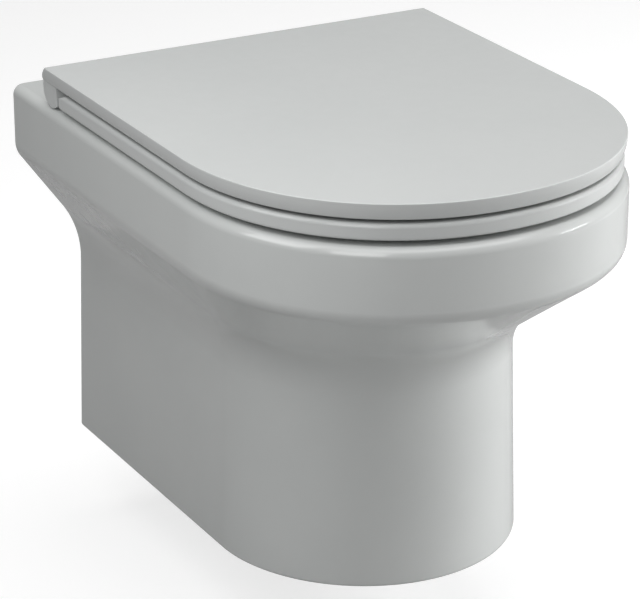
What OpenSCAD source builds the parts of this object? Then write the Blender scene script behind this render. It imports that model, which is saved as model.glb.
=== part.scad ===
// Wall hung toilet: a hollow vitreous china pan, its concealed wall clamps, and a slim
// wrap-over seat and lid on quick-release damped hinges.
// The origin is the middle of the wall stud line, on the finished wall face.
// +X is to the right seen from the front, the front faces -Y, and +Z is up.
// Depths are measured from the wall, and heights from the stud line.

/* [Rim] */
// Width of the ceramic rim, and of the lid that covers it
rim_w = 360; // [348:2:380]
// Depth of the rim from the wall to its front
rim_front = 512; // [500:2:540]
// Depth at which the rim's straight sides end and its front curve starts
rim_straight = 326; // [310:2:336]
// Height of the deck, which is the top of the ceramic, above the stud line
deck_h = 80; // [76:1:84]
// Height of the upright band round the rim
rim_band = 57; // [52:1:62]
// Fullness of the rim's front curve, where 2 is an ellipse and more is squarer
rim_full = 2.1; // [2:0.02:2.3]
// Radius of the rim's top edge
rim_edge_r = 8; // [6:0.5:10]
// Radius of the corner under the rim band
rim_corner_r = 22; // [12:1:26]

/* [Body] */
// Width of the body just under the flare
body_w = 246; // [240:2:256]
// Depth of the body just under the flare
body_front = 404; // [394:2:420]
// Depth at which the body's straight sides end
body_straight = 277; // [266:1:286]
// Drop from the stud line to the underside of the body
base_drop = 244; // [238:1:252]
// How much the body widens on each side from the flare down to the base
base_flare = 4.5; // [0:0.5:8]
// Radius of the edge round the underside
base_edge_r = 3; // [1:0.5:5]
// Slope of the flare at the side, from upright
flare_angle = 36; // [33:1:40]
// Radius of the hollow curve between the flare and the body
flare_r = 85; // [60:1:100]
// Thickness of the outer ceramic wall
wall_t = 11; // [9:0.5:13]
// Thickness of the deck and rim top
deck_t = 12; // [10:0.5:14]
// Thickness of the floor under the body
floor_t = 12; // [10:0.5:14]
// Thickness of the face that lies against the wall
back_t = 16; // [12:1:20]
// Height of the opening in the back, up from the floor
window_h = 192; // [186:1:196]
// Width of the opening in the back
window_w = 206; // [196:2:212]
// Radius of the opening's corners
window_r = 26; // [12:1:40]
// Height of the sill under the opening, above the floor
window_sill = 6; // [3:1:10]

/* [Bowl] */
// Half width of the bowl's mouth
mouth_w = 137; // [130:1:140]
// Depth from the wall to the middle of the mouth
mouth_mid = 315; // [308:1:322]
// Length of the mouth forward of its middle
mouth_front = 155; // [146:1:158]
// Length of the mouth back from its middle
mouth_back = 162; // [156:1:164]
// Radius of the mouth's edge
mouth_r = 8; // [4:0.5:9]
// How far the wall under the rim is cut back above the flush ledge
ledge_undercut = 4; // [2:0.5:5]
// Width of the flush ledge that carries the water round the bowl
ledge_w = 15; // [10:1:18]
// Drop from the deck to the flush ledge
ledge_drop = 38; // [36:1:42]
// Half width of the sump
sump_w = 42; // [40:1:48]
// Depth from the wall to the middle of the sump
sump_mid = 232; // [228:1:238]
// Length of the sump forward of its middle
sump_front = 50; // [46:1:58]
// Length of the sump back from its middle
sump_back = 42; // [40:1:44]
// Thickness of the bowl's wall
bowl_t = 10; // [8:0.5:12]

/* [Trapway] */
// Drop from the stud line to the centre of the waste outlet
outlet_drop = 100; // [98:1:102]
// Outer radius of the outlet spigot
spigot_r = 51; // [50:0.5:52]
// Length of the straight spigot
spigot_len = 42; // [38:1:44]
// Gap between the spigot's end and the wall face
spigot_back = 3; // [1:0.5:6]
// Wall of the trapway and the spigot
trap_t = 8; // [7:0.5:9]
// Radius of the trapway where it leaves the sump
trap_r = 32; // [30:0.5:33]
// Height of the sill between the sump's floor and the trapway
sump_sill = 6; // [5:0.5:9]
// Gap between the sump and the floor below it
sump_lift = 3; // [2:0.5:6]
// Drop from the stud line to the trapway's centre at the weir
crest_drop = 60; // [58:1:64]
// Depth from the wall to the weir
crest_y = 105; // [102:1:108]
// Radius of the trapway's two bends, along its middle
bend_r = 58; // [54:1:59]

/* [Wall fixings and inlet] */
// Distance between the two wall studs
stud_pitch = 180; // [176:2:184]
// Radius of the hole for an M12 stud
stud_hole_r = 6.3; // [6.2:0.05:6.6]
// Radius of the ceramic bore round each stud
sleeve_bore_r = 15; // [14.5:0.1:16]
// Depth of the ceramic bore round each stud
sleeve_bore_l = 95; // [90:1:100]
// Radius of the steel clamp barrel
barrel_r = 10; // [9.5:0.1:10.5]
// Ceramic left round a fixing bore
boss_t = 9; // [7:0.5:11]
// Radius of the clamp screw
clamp_screw_r = 4; // [3:0.5:4.5]
// Length of the clamp screw
clamp_screw_l = 16; // [12:1:20]
// Gap between a loose clamp screw's tip and the stud's bore
screw_back = 0.8; // [0.6:0.1:1.2]
// Radius of the slanted hole through which the clamp screw is reached
key_hole_r = 5.5; // [5:0.25:6]
// Height of the flush inlet above the stud line
inlet_h = 35; // [33:1:36]
// Radius of the inlet socket in the ceramic
inlet_r = 28; // [27:0.5:29]
// Depth of the inlet socket
inlet_l = 44; // [40:1:50]
// Radius of the flush pipe that the seal grips
flush_pipe_r = 22; // [21.5:0.25:22.5]
// Radius of the duct from the socket to the bowl
duct_r = 20; // [18:0.5:21]
// Half width of the flush slot in the bowl
flush_slot_w = 38; // [30:1:42]
// Height of the flush slot
flush_slot_h = 13; // [10:0.5:15]

/* [Seat] */
// Gap between the deck and the underside of the seat
seat_gap = 4.4; // [4:0.1:4.8]
// Thickness of the seat
seat_t = 13; // [12:0.25:14]
// How far the seat stands in from the lid's outline
seat_inset = 2; // [1:0.5:5]
// Depth from the wall to the seat's back edge
seat_back = 91; // [90.5:0.25:93]
// Half width of the seat's opening
seat_open_w = 116; // [108:1:122]
// Length of the seat's opening forward of the mouth's middle
seat_open_front = 122; // [112:1:130]
// Length of the seat's opening back from the mouth's middle
seat_open_back = 138; // [128:1:144]
// Radius of the seat's outer edges
seat_edge_r = 3.5; // [2:0.25:5]
// Width of the slope round the seat's opening
seat_dish_w = 14; // [8:1:18]
// Length of the bevel at the seat's back
seat_bevel = 12; // [6:0.5:13]

/* [Lid] */
// Gap between the seat and the lid's lower edge
lid_gap = 3.1; // [2.5:0.1:3.8]
// Height of the lid's edge
lid_edge_h = 13.5; // [12.5:0.25:15]
// Radius of the curve by which the lid's edge draws in below its top
lid_edge_r = 32; // [20:1:40]
// Radius of the lid's top edge
lid_top_r = 0.8; // [0.4:0.1:1.5]
// Thickness of the lid's top
lid_t = 5; // [4:0.1:5]
// Thickness of the lid's turned-down edge at its foot
lid_skirt_t = 4; // [3:0.25:6]
// Depth from the wall to the lid's back edge
lid_back = 68; // [66:0.1:70]
// How far the lid's front stays behind the rim's front
lid_front_in = 4; // [2:0.5:8]
// How far the lid's straight sides end behind the rim's
lid_straight_in = 5; // [0:1:10]

/* [Hinge] */
// Depth from the wall to the hinge axis
hinge_y = 74.5; // [73.5:0.1:75]
// Height of the hinge axis above the deck
hinge_h = 17; // [16.9:0.05:17.2]
// Distance between the two seat fixing holes
hinge_pitch = 155; // [151:1:159]
// Radius by which the lid's turned-down ends sweep round the hinge axis
bar_r = 16; // [14:0.1:16.3]
// Distance from the hinge axis to the upright front of a turned-down end
end_front = 10; // [9.5:0.1:12.5]
// How far a turned-down end's outer face stays behind the lid's edge
end_in = 0.3; // [0.2:0.1:0.6]
// Radius of the corner between a turned-down end and the lid's foot
end_fillet = 3; // [2:0.25:3.5]
// Radius of the seat knuckle and of the hinge blocks
knuckle_r = 11; // [10.6:0.1:11.3]
// Width of a hinge block
block_w = 35; // [33:0.5:37]
// Distance from the hinge axis to the block's front face
block_front = 13; // [12.5:0.1:13.2]
// Radius of a hinge pin
pin_r = 4; // [3.5:0.1:4.2]
// How far a pin reaches into a block
pin_grip = 11; // [9:0.5:11]
// How far a pin reaches out of a block
pin_reach = 15; // [12:0.5:18]
// Radius of a damper barrel
damper_r = 8; // [7.5:0.1:8.2]
// Length of a damper barrel
damper_l = 40; // [34:1:46]
// Radius of a post's base disc
disc_r = 17.5; // [16:0.25:17.8]
// Thickness of a base disc
disc_t = 2; // [1.6:0.1:2.2]
// Radius of a post
post_r = 6.5; // [6.3:0.05:6.8]
// Height of a post above its disc
post_h = 10.5; // [10:0.1:10.8]
// Radius of the groove round a post
neck_r = 4.4; // [4.3:0.05:4.6]
// Radius of a seat fixing bolt
bolt_r = 3; // [2.5:0.1:3.1]
// Radius of the seat fixing holes in the ceramic
plug_hole_r = 8; // [7.5:0.1:8.5]
// Depth of the seat fixing holes
plug_hole_l = 38; // [36:1:40]
// Travel of a release button
button_travel = 2.5; // [2:0.1:2.6]
// Width of a release button
button_w = 16; // [14:0.5:18]
// Radius of the release clip's wire
clip_wire_r = 0.6; // [0.5:0.05:0.7]

/* [Fits] */
// Radial clearance of a running fit
run_gap = 0.05; // [0.02:0.01:0.08]
// Radial clearance where a part is pushed home
push_gap = 0.2; // [0.1:0.05:0.3]
// Gap between parts that move past each other
move_gap = 0.5; // [0.35:0.05:0.6]
// Gap under a buffer
pad_gap = 0.2; // [0.1:0.05:0.3]

/* [Hidden] */

$fn = 64;
SIDES = [-1, 1];
// Segments in a front curve, in an oval and in a rounded edge
CURVE_N = 42;
OVAL_N = 48;
EDGE_N = 4;
FLARE_N = 6;
BOWL_N = 9;
TRAP_N = 5;
TRAP_SIDES = 20;
CORNER_N = 6;
SWEEP_N = 24;
HIDDEN_FN = 32;
// Overlap that lets one cut or joined solid pass through a face
OVER = 1;

china = "#d5d6d4";
plastic = "#dcdddb";
steel = "#b9bcc0";
brass = "#b59a5a";
rubber = "#55585c";
dark_plastic = "#7d8186";

base_z = -base_drop;
rim_low = deck_h - rim_band;
overhang = (rim_w - body_w) / 2;

// Heights at which the flare's straight slope, hollow and corner begin and end
slope_foot = rim_low - overhang / tan(flare_angle);
hollow_reach = flare_r * tan(flare_angle / 2);
hollow_lo = slope_foot - hollow_reach;
hollow_hi = slope_foot + hollow_reach * cos(flare_angle);
corner_reach = rim_corner_r * tan(flare_angle / 2);
corner_lo = rim_low - corner_reach * cos(flare_angle);
corner_hi = rim_low + corner_reach;

axis_z = deck_h + hinge_h;
seat_lo = deck_h + seat_gap;
seat_hi = seat_lo + seat_t;
lid_lo = seat_hi + lid_gap;
lid_hi = lid_lo + lid_edge_h;
lid_under = lid_hi - lid_t;
lid_hw = rim_w / 2;
// The lid's edge draws in by this much between its top and its foot
lid_draw = lid_edge_r - sqrt(lid_edge_r * lid_edge_r - lid_edge_h * lid_edge_h);

stud_x = stud_pitch / 2;
hinge_x = hinge_pitch / 2;
block_in = hinge_x - block_w / 2;
block_out = hinge_x + block_w / 2;
disc_top = deck_h + disc_t;
post_top = disc_top + post_h;
block_foot = disc_top + move_gap;
// The groove in a post, which the release clip lies in
groove_lo = disc_top + 2.3;
groove_h = 2.6;
clip_z = groove_lo + groove_h / 2;
clip_x = neck_r + push_gap + clip_wire_r;
lid_front = rim_front - lid_front_in;
lid_straight = rim_straight - lid_straight_in;
block_face = hinge_y + block_front;

// The slanted clamp screw runs from the seat hole's mouth to the stud
key_lean = atan((stud_x - hinge_x) / deck_h);
sleeve_r = sleeve_bore_r - push_gap;
outlet_r = spigot_r - trap_t;
ledge_z = deck_h - ledge_drop;
sump_floor = base_z + floor_t + sump_lift + bowl_t;
dip_z = sump_floor + sump_sill + trap_r;
sump_z = dip_z + 18;
slot_z = ledge_z + 7;
// Depth of the bowl's back wall, and of the wall round the flush duct's end
bowl_rear = mouth_mid - mouth_back;
duct_end = bowl_rear - ledge_undercut - bowl_t;

// Shared outlines

// A sine or cosine made fuller, for a front curve that is squarer than an ellipse
function fuller(v, full) = sign(v) * pow(abs(v), 2 / full);

// A D-shaped ring: straight sides that run back to the wall and a curved front
function d_ring(half_w, back, straight, front, z, full = rim_full) = concat(
    [for (i = [0:CURVE_N])
        let (t = 180 * i / CURVE_N)
        [
            -half_w * fuller(cos(t), full),
            -straight - (front - straight) * fuller(sin(t), full),
            z
        ]],
    [[half_w, -back, z], [-half_w, -back, z]]
);

// An oval ring with its own length in front of and behind its middle
function oval_ring(half_w, mid, ahead, behind, z) = [
    for (i = [0:OVAL_N - 1])
        let (t = 360 * i / OVAL_N)
        [half_w * cos(t), -mid + (sin(t) < 0 ? ahead : behind) * sin(t), z]
];

// How far an edge of radius r has drawn in, at a share k of its quarter turn
function edge_in(r, k) = r * (1 - cos(90 * k));
function edge_up(r, k) = r * sin(90 * k);
function mix(a, b, k) = a + (b - a) * k;
function ease(k) = (1 - cos(180 * k)) / 2;

// A closed solid through a stack of rings, each listed anticlockwise from above, lowest first
module loft(rings) {
    n = len(rings[0]);
    last = len(rings) - 1;
    points = [for (r = rings) each r];
    sides = [
        for (i = [0:last - 1], j = [0:n - 1])
            let (a = i * n + j, b = i * n + (j + 1) % n)
            each [[a, a + n, b], [b, a + n, b + n]]
    ];
    floor_face = [for (j = [0:n - 1]) j];
    roof_face = [for (j = [n - 1:-1:0]) last * n + j];
    polyhedron(points, concat([floor_face], sides, [roof_face]), convexity = 8);
}

module rod_x(r, from, to, y = -hinge_y, z = axis_z) {
    translate([from, y, z])
        rotate([0, 90, 0])
            cylinder(r = r, h = to - from);
}

module rod_y(r, depth_from, depth_to, x = 0, z = 0) {
    translate([x, -depth_from, z])
        rotate([90, 0, 0])
            cylinder(r = r, h = depth_to - depth_from);
}

module rod_z(r, from, to, x, y = -hinge_y) {
    translate([x, y, from])
        cylinder(r = r, h = to - from);
}

module box(x, y, z) {
    translate([x[0], y[0], z[0]])
        cube([x[1] - x[0], y[1] - y[0], z[1] - z[0]]);
}

// Pan

// How far the flare has spread at height z, from 0 at the body to overhang at the rim
function flare(z) =
    z <= hollow_lo ? 0 :
    z < hollow_hi ? flare_r - sqrt(flare_r * flare_r - pow(z - hollow_lo, 2)) :
    z < corner_lo ? (z - slope_foot) * tan(flare_angle) :
    z < corner_hi ? overhang - rim_corner_r
        + sqrt(rim_corner_r * rim_corner_r - pow(corner_hi - z, 2)) :
    overhang;

// The body's own widening towards the base
function base_out(z) = z >= hollow_lo ? 0 : base_flare * (hollow_lo - z) / (hollow_lo - base_z);

// The outside of the pan at height z, drawn in by inset, with its back at depth back
function pan_ring(z, inset, back) =
    let (k = flare(z) / overhang)
    d_ring(
        body_w / 2 + flare(z) + base_out(z) - inset,
        back,
        mix(body_straight, rim_straight, k),
        mix(body_front, rim_front, k) + base_out(z) - inset,
        z,
        mix(2, rim_full, k * k * k)
    );

// Heights at which the outside is drawn, with n steps in the hollow curve
function pan_heights(n) = concat(
    [hollow_lo],
    [for (i = [1:n]) mix(hollow_lo, hollow_hi, i / n)],
    [(hollow_hi + corner_lo) / 2],
    [for (i = [0:n / 2]) mix(corner_lo, corner_hi, 2 * i / n)]
);

module pan_outside() {
    loft(concat(
        [for (i = [2:-1:0])
            let (k = i / 2)
            pan_ring(base_z + base_edge_r - edge_up(base_edge_r, k), edge_in(base_edge_r, k), 0)],
        [for (z = pan_heights(FLARE_N)) pan_ring(z, 0, 0)],
        [for (i = [0:EDGE_N])
            let (k = i / EDGE_N)
            pan_ring(deck_h - rim_edge_r + edge_up(rim_edge_r, k), edge_in(rim_edge_r, k), 0)]
    ));
}

// The hollow between the outer wall and the bowl
module pan_hollow() {
    loft(concat(
        [pan_ring(base_z + floor_t, wall_t, back_t)],
        [for (z = pan_heights(FLARE_N / 3)) pan_ring(z, wall_t, back_t)],
        [pan_ring(deck_h - deck_t, wall_t, back_t)]
    ));
}

// Corner points of a rectangle with rounded corners
function rounded(half_w, lo, hi, r) = [
    for (turn = [0:3])
        let (
            x = (turn == 0 || turn == 3 ? 1 : -1) * (half_w - r),
            y = turn < 2 ? hi - r : lo + r
        )
        for (i = [0:CORNER_N])
            let (t = 90 * (turn + i / CORNER_N))
            [x + r * cos(t), y + r * sin(t)]
];

// The opening in the back, through which the waste pipe is fitted
module back_window() {
    lo = base_z + floor_t + window_sill;
    translate([0, OVER, 0])
        rotate([90, 0, 0])
            linear_extrude(height = back_t + 2 * OVER)
                polygon(rounded(window_w / 2, lo, lo + window_h, window_r));
}

// One ring of the bowl below the ledge, at share k of the way down to the sump
function bowl_ring(k, grow) =
    let (e = ease(k), a = mouth_w + ledge_undercut - ledge_w)
    oval_ring(
        mix(a, sump_w, e) + grow,
        mix(mouth_mid, sump_mid, e),
        mix(mouth_front + ledge_undercut - ledge_w, sump_front, e) + grow,
        mix(mouth_back + ledge_undercut - ledge_w, sump_back, e) + grow,
        mix(ledge_z, sump_z, k)
    );

// The rounded foot of the sump, at share k of its quarter turn
function sump_ring(k, grow) =
    let (s = cos(84 * k))
    oval_ring(
        (sump_w + grow) * s,
        sump_mid,
        (sump_front + grow) * s,
        (sump_back + grow) * s,
        sump_z - (sump_z - sump_floor + grow) * sin(84 * k) / sin(84)
    );

function mouth_ring(z, out) =
    oval_ring(mouth_w + out, mouth_mid, mouth_front + out, mouth_back + out, z);

module bowl_inside() {
    loft(concat(
        [for (i = [EDGE_N:-1:1]) sump_ring(i / EDGE_N, 0)],
        [for (i = [BOWL_N:-1:0]) bowl_ring(i / BOWL_N, 0)],
        [mouth_ring(ledge_z + 3, ledge_undercut - 2),
         mouth_ring(ledge_z + 7, ledge_undercut),
         mouth_ring(ledge_z + 18, ledge_undercut)],
        [for (i = [0:EDGE_N])
            let (k = i / EDGE_N)
            mouth_ring(deck_h - mouth_r + edge_up(mouth_r, k), edge_in(mouth_r, k))],
        [mouth_ring(deck_h + OVER, mouth_r)]
    ));
}

module bowl_outside() {
    loft(concat(
        [for (i = [2:-1:1]) sump_ring(i / 2, bowl_t)],
        [for (i = [BOWL_N:-2:1]) bowl_ring(i / BOWL_N, bowl_t)],
        [mouth_ring(ledge_z - bowl_t, ledge_undercut - ledge_w + bowl_t),
         mouth_ring(ledge_z, ledge_undercut + bowl_t),
         mouth_ring(deck_h - deck_t / 2, ledge_undercut + bowl_t)]
    ));
}

// The trapway rises from the sump along two equal bends with a straight between them
bend_drop = (-crest_drop - dip_z) - 2 * bend_r;
bend_gap = norm([sump_mid - crest_y, bend_drop]) / 2;
bend_turn = atan2(bend_drop, sump_mid - crest_y) + asin(bend_r / bend_gap);
spigot_root = spigot_back + spigot_len;
// The collar where the trapway ends over the spigot, and how far the spigot reaches into it
collar = 1.5;
spigot_lap = 5;

// A ring round the trapway's path at [depth, height], square to a path that climbs at angle lean
function trap_ring(centre, lean, r) = [
    for (i = [0:TRAP_SIDES - 1])
        let (t = 360 * i / TRAP_SIDES)
        [-r * cos(t), centre[0] - r * sin(t) * sin(lean), centre[1] + r * sin(t) * cos(lean)]
];
function lower_bend(a) = [-sump_mid + bend_r * sin(a), dip_z + bend_r * (1 - cos(a))];
function upper_bend(a) = [-crest_y - bend_r * sin(a), -crest_drop - bend_r * (1 - cos(a))];
function over_weir(k) = [mix(-crest_y, -spigot_root, k), mix(-crest_drop, -outlet_drop, ease(k))];

// The trapway from the sump over the weir, with its wall grown by grow and its end at radius end_r
module trapway(grow, end_r) {
    crest_r = (trap_r + outlet_r) / 2 + grow;
    loft(concat(
        [for (i = [0:TRAP_N])
            let (k = i / TRAP_N, a = bend_turn * k)
            trap_ring(lower_bend(a), a, mix(trap_r + grow, crest_r, k / 2))],
        [for (i = [0:TRAP_N])
            let (k = i / TRAP_N, a = bend_turn * (1 - k))
            trap_ring(upper_bend(a), a, mix(trap_r + grow, crest_r, (1 + k) / 2))],
        [for (i = [1:TRAP_N])
            let (k = i / TRAP_N)
            trap_ring(over_weir(k), 0, mix(crest_r, end_r, k))]
    ));
}

module fixing_tower(side) {
    $fn = HIDDEN_FN;
    near = hinge_x - plug_hole_r - boss_t;
    far = stud_x + plug_hole_r + boss_t;
    rod_y(sleeve_bore_r + boss_t, 2, sleeve_bore_l + boss_t, side * stud_x);
    box(
        side > 0 ? [near, far] : [-far, -near],
        [-hinge_y - plug_hole_r - boss_t, -hinge_y + plug_hole_r + boss_t],
        [0, deck_h - 2]
    );
}

// The line along which the clamp screw points at the stud
module along_key(side) {
    translate([side * stud_x, -hinge_y, 0])
        rotate([0, -side * key_lean, 0])
            children();
}

module flush_way() {
    rod_y(inlet_r, -OVER, inlet_l, 0, inlet_h);
    rod_y(duct_r, inlet_l - OVER, duct_end, 0, inlet_h);
    box(
        [-flush_slot_w, flush_slot_w],
        [-bowl_rear - bowl_t / 2, -duct_end + 2 * bowl_t],
        [slot_z, slot_z + flush_slot_h]
    );
}

module flush_housing() {
    $fn = HIDDEN_FN;
    rod_y(inlet_r + boss_t, 2, inlet_l + boss_t, 0, inlet_h);
    rod_y(duct_r + boss_t, inlet_l, bowl_rear + bowl_t - 1, 0, inlet_h);
    box(
        [-flush_slot_w - boss_t, flush_slot_w + boss_t],
        [-bowl_rear, -duct_end + 3 * bowl_t],
        [slot_z - boss_t, deck_h - 2]
    );
}

module pan_body() {
    color(china)
    difference() {
        union() {
            difference() {
                pan_outside();
                pan_hollow();
                back_window();
            }
            bowl_outside();
            trapway(trap_t, spigot_r + collar);
            rod_y(spigot_r, spigot_back, spigot_root + spigot_lap, 0, -outlet_drop);
            flush_housing();
            for (side = SIDES)
                fixing_tower(side);
        }
        bowl_inside();
        trapway(0, outlet_r - 1);
        rod_y(outlet_r, -OVER, spigot_root + OVER, 0, -outlet_drop);
        flush_way();
        for (side = SIDES) {
            rod_y(sleeve_bore_r, -OVER, sleeve_bore_l, side * stud_x);
            rod_z(plug_hole_r, deck_h - plug_hole_l, deck_h + OVER, side * hinge_x);
            along_key(side)
                cylinder(r = key_hole_r, h = deck_h - plug_hole_l / 2);
        }
    }
}

// Wall clamps and inlet seal

module wall_sleeves() {
    color(dark_plastic)
    for (side = SIDES)
        difference() {
            rod_y(sleeve_r, 0, sleeve_bore_l - push_gap, side * stud_x);
            rod_y(barrel_r + push_gap, -OVER, sleeve_bore_l, side * stud_x);
            along_key(side)
                cylinder(r = key_hole_r, h = 2 * sleeve_r);
        }
}

module clamp_barrels() {
    color(steel)
    for (side = SIDES)
        difference() {
            rod_y(barrel_r, 0, sleeve_bore_l - push_gap, side * stud_x);
            rod_y(stud_hole_r, -OVER, sleeve_bore_l, side * stud_x);
            along_key(side)
                cylinder(r = clamp_screw_r + run_gap, h = 2 * barrel_r);
        }
}

module clamp_screws() {
    socket_r = clamp_screw_r * 0.55;
    socket_l = clamp_screw_r;
    color(steel)
    for (side = SIDES)
        along_key(side)
            translate([0, 0, stud_hole_r + screw_back])
                difference() {
                    cylinder(r = clamp_screw_r, h = clamp_screw_l);
                    translate([0, 0, clamp_screw_l - socket_l])
                        cylinder(r = socket_r, h = socket_l + OVER, $fn = 6);
                }
}

// A sleeve with three lips that grips the ceramic socket outside and the flush pipe inside
module inlet_seal() {
    outer = inlet_r - push_gap;
    root = outer - 2;
    length = inlet_l - 4;
    lip = 4;
    color(rubber)
    translate([0, -2, inlet_h])
        rotate([90, 0, 0])
            rotate_extrude()
                polygon(concat(
                    [[flush_pipe_r, 0], [outer, 0], [outer, lip]],
                    [for (i = [1:3])
                        let (y = i * (length - lip) / 4)
                        each [[root, y + lip / 2], [outer, y + lip], [outer, y + lip * 1.5]]],
                    [[root, length - lip / 2], [root, length], [flush_pipe_r, length]]
                ));
}

// Seat fixings

plug_hi = deck_h - push_gap;
nut_h = 6;
plug_lo = deck_h - plug_hole_l + nut_h + 2;
bolt_head_r = 5;
bolt_head_h = 4.4;
bolt_seat = post_top - bolt_head_h - 0.4;

module hinge_plugs() {
    color(rubber)
    for (side = SIDES)
        difference() {
            rod_z(plug_hole_r - push_gap, plug_lo, plug_hi, side * hinge_x);
            rod_z(bolt_r + push_gap, plug_lo - OVER, plug_hi + OVER, side * hinge_x);
        }
}

module hinge_nuts() {
    color(brass)
    for (side = SIDES)
        difference() {
            translate([side * hinge_x, -hinge_y, plug_lo - nut_h])
                cylinder(r = plug_hole_r - 2 * push_gap, h = nut_h - push_gap, $fn = 6);
            rod_z(bolt_r + run_gap, plug_lo - nut_h - OVER, plug_lo, side * hinge_x);
        }
}

module hinge_bolts() {
    color(steel)
    for (side = SIDES)
        difference() {
            union() {
                rod_z(bolt_r, plug_lo - nut_h, bolt_seat + OVER, side * hinge_x);
                rod_z(bolt_head_r, bolt_seat, bolt_seat + bolt_head_h, side * hinge_x);
            }
            translate([side * hinge_x, -hinge_y, bolt_seat + bolt_head_h / 3])
                cylinder(r = bolt_head_r / 2, h = bolt_head_h, $fn = 6);
        }
}

module hinge_bases() {
    color(steel)
    for (side = SIDES)
        translate([side * hinge_x, -hinge_y, deck_h])
            rotate_extrude()
                polygon([
                    [bolt_r + push_gap, 0],
                    [disc_r - 0.6, 0],
                    [disc_r, 0.6],
                    [disc_r, disc_t - 0.4],
                    [disc_r - 0.4, disc_t],
                    [post_r, disc_t],
                    [post_r, groove_lo - deck_h],
                    [neck_r, groove_lo - deck_h],
                    [neck_r, groove_lo + groove_h - deck_h],
                    [post_r, groove_lo + groove_h - deck_h],
                    [post_r, disc_t + post_h - 0.6],
                    [post_r - 0.6, disc_t + post_h],
                    [bolt_head_r + push_gap, disc_t + post_h],
                    [bolt_head_r + push_gap, bolt_seat - deck_h],
                    [bolt_r + push_gap, bolt_seat - deck_h]
                ]);
}

// Hinge blocks and their release

socket_hi = post_top + 0.4;
button_lo = block_foot + 0.9;
button_h = 5;
button_body = 3.7;
nose_l = 2.6;
clip_front = block_face - button_body - button_travel + 2.3;
clip_rear = hinge_y - 4;
clip_slot_h = 2 * (clip_wire_r + push_gap);

module block_shape(mid) {
    rod_x(knuckle_r, mid - block_w / 2, mid + block_w / 2);
    box(
        [mid - block_w / 2, mid + block_w / 2],
        [-hinge_y - block_front, -hinge_y + knuckle_r],
        [block_foot, axis_z - knuckle_r / 2]
    );
    box(
        [mid - block_w / 2, mid + block_w / 2],
        [-hinge_y - knuckle_r, -hinge_y + knuckle_r],
        [block_foot, axis_z]
    );
}

module hinge_block(side) {
    mid = side * hinge_x;
    color(steel)
    difference() {
        block_shape(mid);
        rod_z(post_r + run_gap, block_foot - OVER, socket_hi, mid);
        for (end = SIDES)
            rod_x(
                pin_r + run_gap / 2,
                end > 0 ? mid + block_w / 2 - pin_grip : mid - block_w / 2 - OVER,
                end > 0 ? mid + block_w / 2 + OVER : mid - block_w / 2 + pin_grip
            );
        box(
            [mid - button_w / 2 - move_gap / 2, mid + button_w / 2 + move_gap / 2],
            [-block_face - OVER, -block_face + button_body + move_gap],
            [button_lo - move_gap / 2, button_lo + button_h + move_gap / 2]
        );
        box(
            [mid - clip_x - 2, mid + clip_x + 2],
            [-block_face, -clip_rear + clip_x + clip_wire_r + push_gap],
            [clip_z - clip_slot_h / 2, clip_z + clip_slot_h / 2]
        );
    }
}

module hinge_block_left() {
    hinge_block(-1);
}

module hinge_block_right() {
    hinge_block(1);
}

// A spring wire bent to a U, whose legs lie in the post's groove
module release_clips() {
    color(steel)
    for (side = SIDES)
        translate([side * hinge_x, 0, clip_z]) {
            for (leg = SIDES)
                translate([leg * clip_x, -clip_rear, 0])
                    rotate([90, 0, 0])
                        cylinder(r = clip_wire_r, h = clip_front - clip_rear, $fn = 16);
            translate([0, -clip_rear, 0])
                rotate_extrude(angle = 180, $fn = 32)
                    translate([clip_x, 0])
                        circle(r = clip_wire_r, $fn = 16);
        }
}

// A push button with a wedge that spreads the clip's legs
module release_button(side) {
    wedge_tip = clip_x - clip_wire_r - push_gap;
    wedge_root = post_r - 0.3;
    face_y = -block_face - button_travel;
    color(dark_plastic)
    translate([side * hinge_x, face_y, 0]) {
        translate([0, 0, button_lo])
            linear_extrude(height = button_h)
                polygon([
                    [-button_w / 2, 1],
                    [-button_w / 2 + 1, 0],
                    [button_w / 2 - 1, 0],
                    [button_w / 2, 1],
                    [button_w / 2, button_body],
                    [-button_w / 2, button_body]
                ]);
        translate([0, 0, clip_z - clip_wire_r])
            linear_extrude(height = 2 * clip_wire_r)
                polygon([
                    [-wedge_root, button_body - 0.1],
                    [wedge_root, button_body - 0.1],
                    [wedge_tip, button_body + nose_l],
                    [-wedge_tip, button_body + nose_l]
                ]);
    }
}

module release_button_left() {
    release_button(-1);
}

module release_button_right() {
    release_button(1);
}

// Pins: the left seat joint and the right lid joint turn on damper spindles,
// and the other two on plain pins.

module pin_out(side, r) {
    mid = side * hinge_x;
    reach = block_w / 2;
    rod_x(
        r,
        side > 0 ? mid + reach - pin_grip + push_gap : mid - reach - pin_reach,
        side > 0 ? mid + reach + pin_reach : mid - reach + pin_grip - push_gap
    );
}

module pin_in(side, r) {
    mid = side * hinge_x;
    reach = block_w / 2;
    rod_x(
        r,
        side > 0 ? mid - reach - pin_reach : mid + reach - pin_grip + push_gap,
        side > 0 ? mid - reach + pin_grip - push_gap : mid + reach + pin_reach
    );
}

module hinge_pins() {
    color(steel) {
        pin_out(-1, pin_r);
        pin_in(1, pin_r);
    }
}

module damper_spindles() {
    color(steel) {
        pin_out(1, pin_r);
        pin_in(-1, pin_r);
    }
}

// A damper barrel that starts at x = from, with the spindle's bore in that end
module damper(from) {
    color(dark_plastic)
    difference() {
        rod_x(damper_r, from, from + damper_l);
        rod_x(pin_r + run_gap, from - OVER, from + pin_reach + 1);
    }
}

module lid_damper() {
    damper(block_out + move_gap + push_gap);
}

module seat_damper() {
    damper(-block_in + move_gap + push_gap);
}

// Seat

pad_r = 8;
pad_peg_r = 3;
pad_peg_h = 3;
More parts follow.
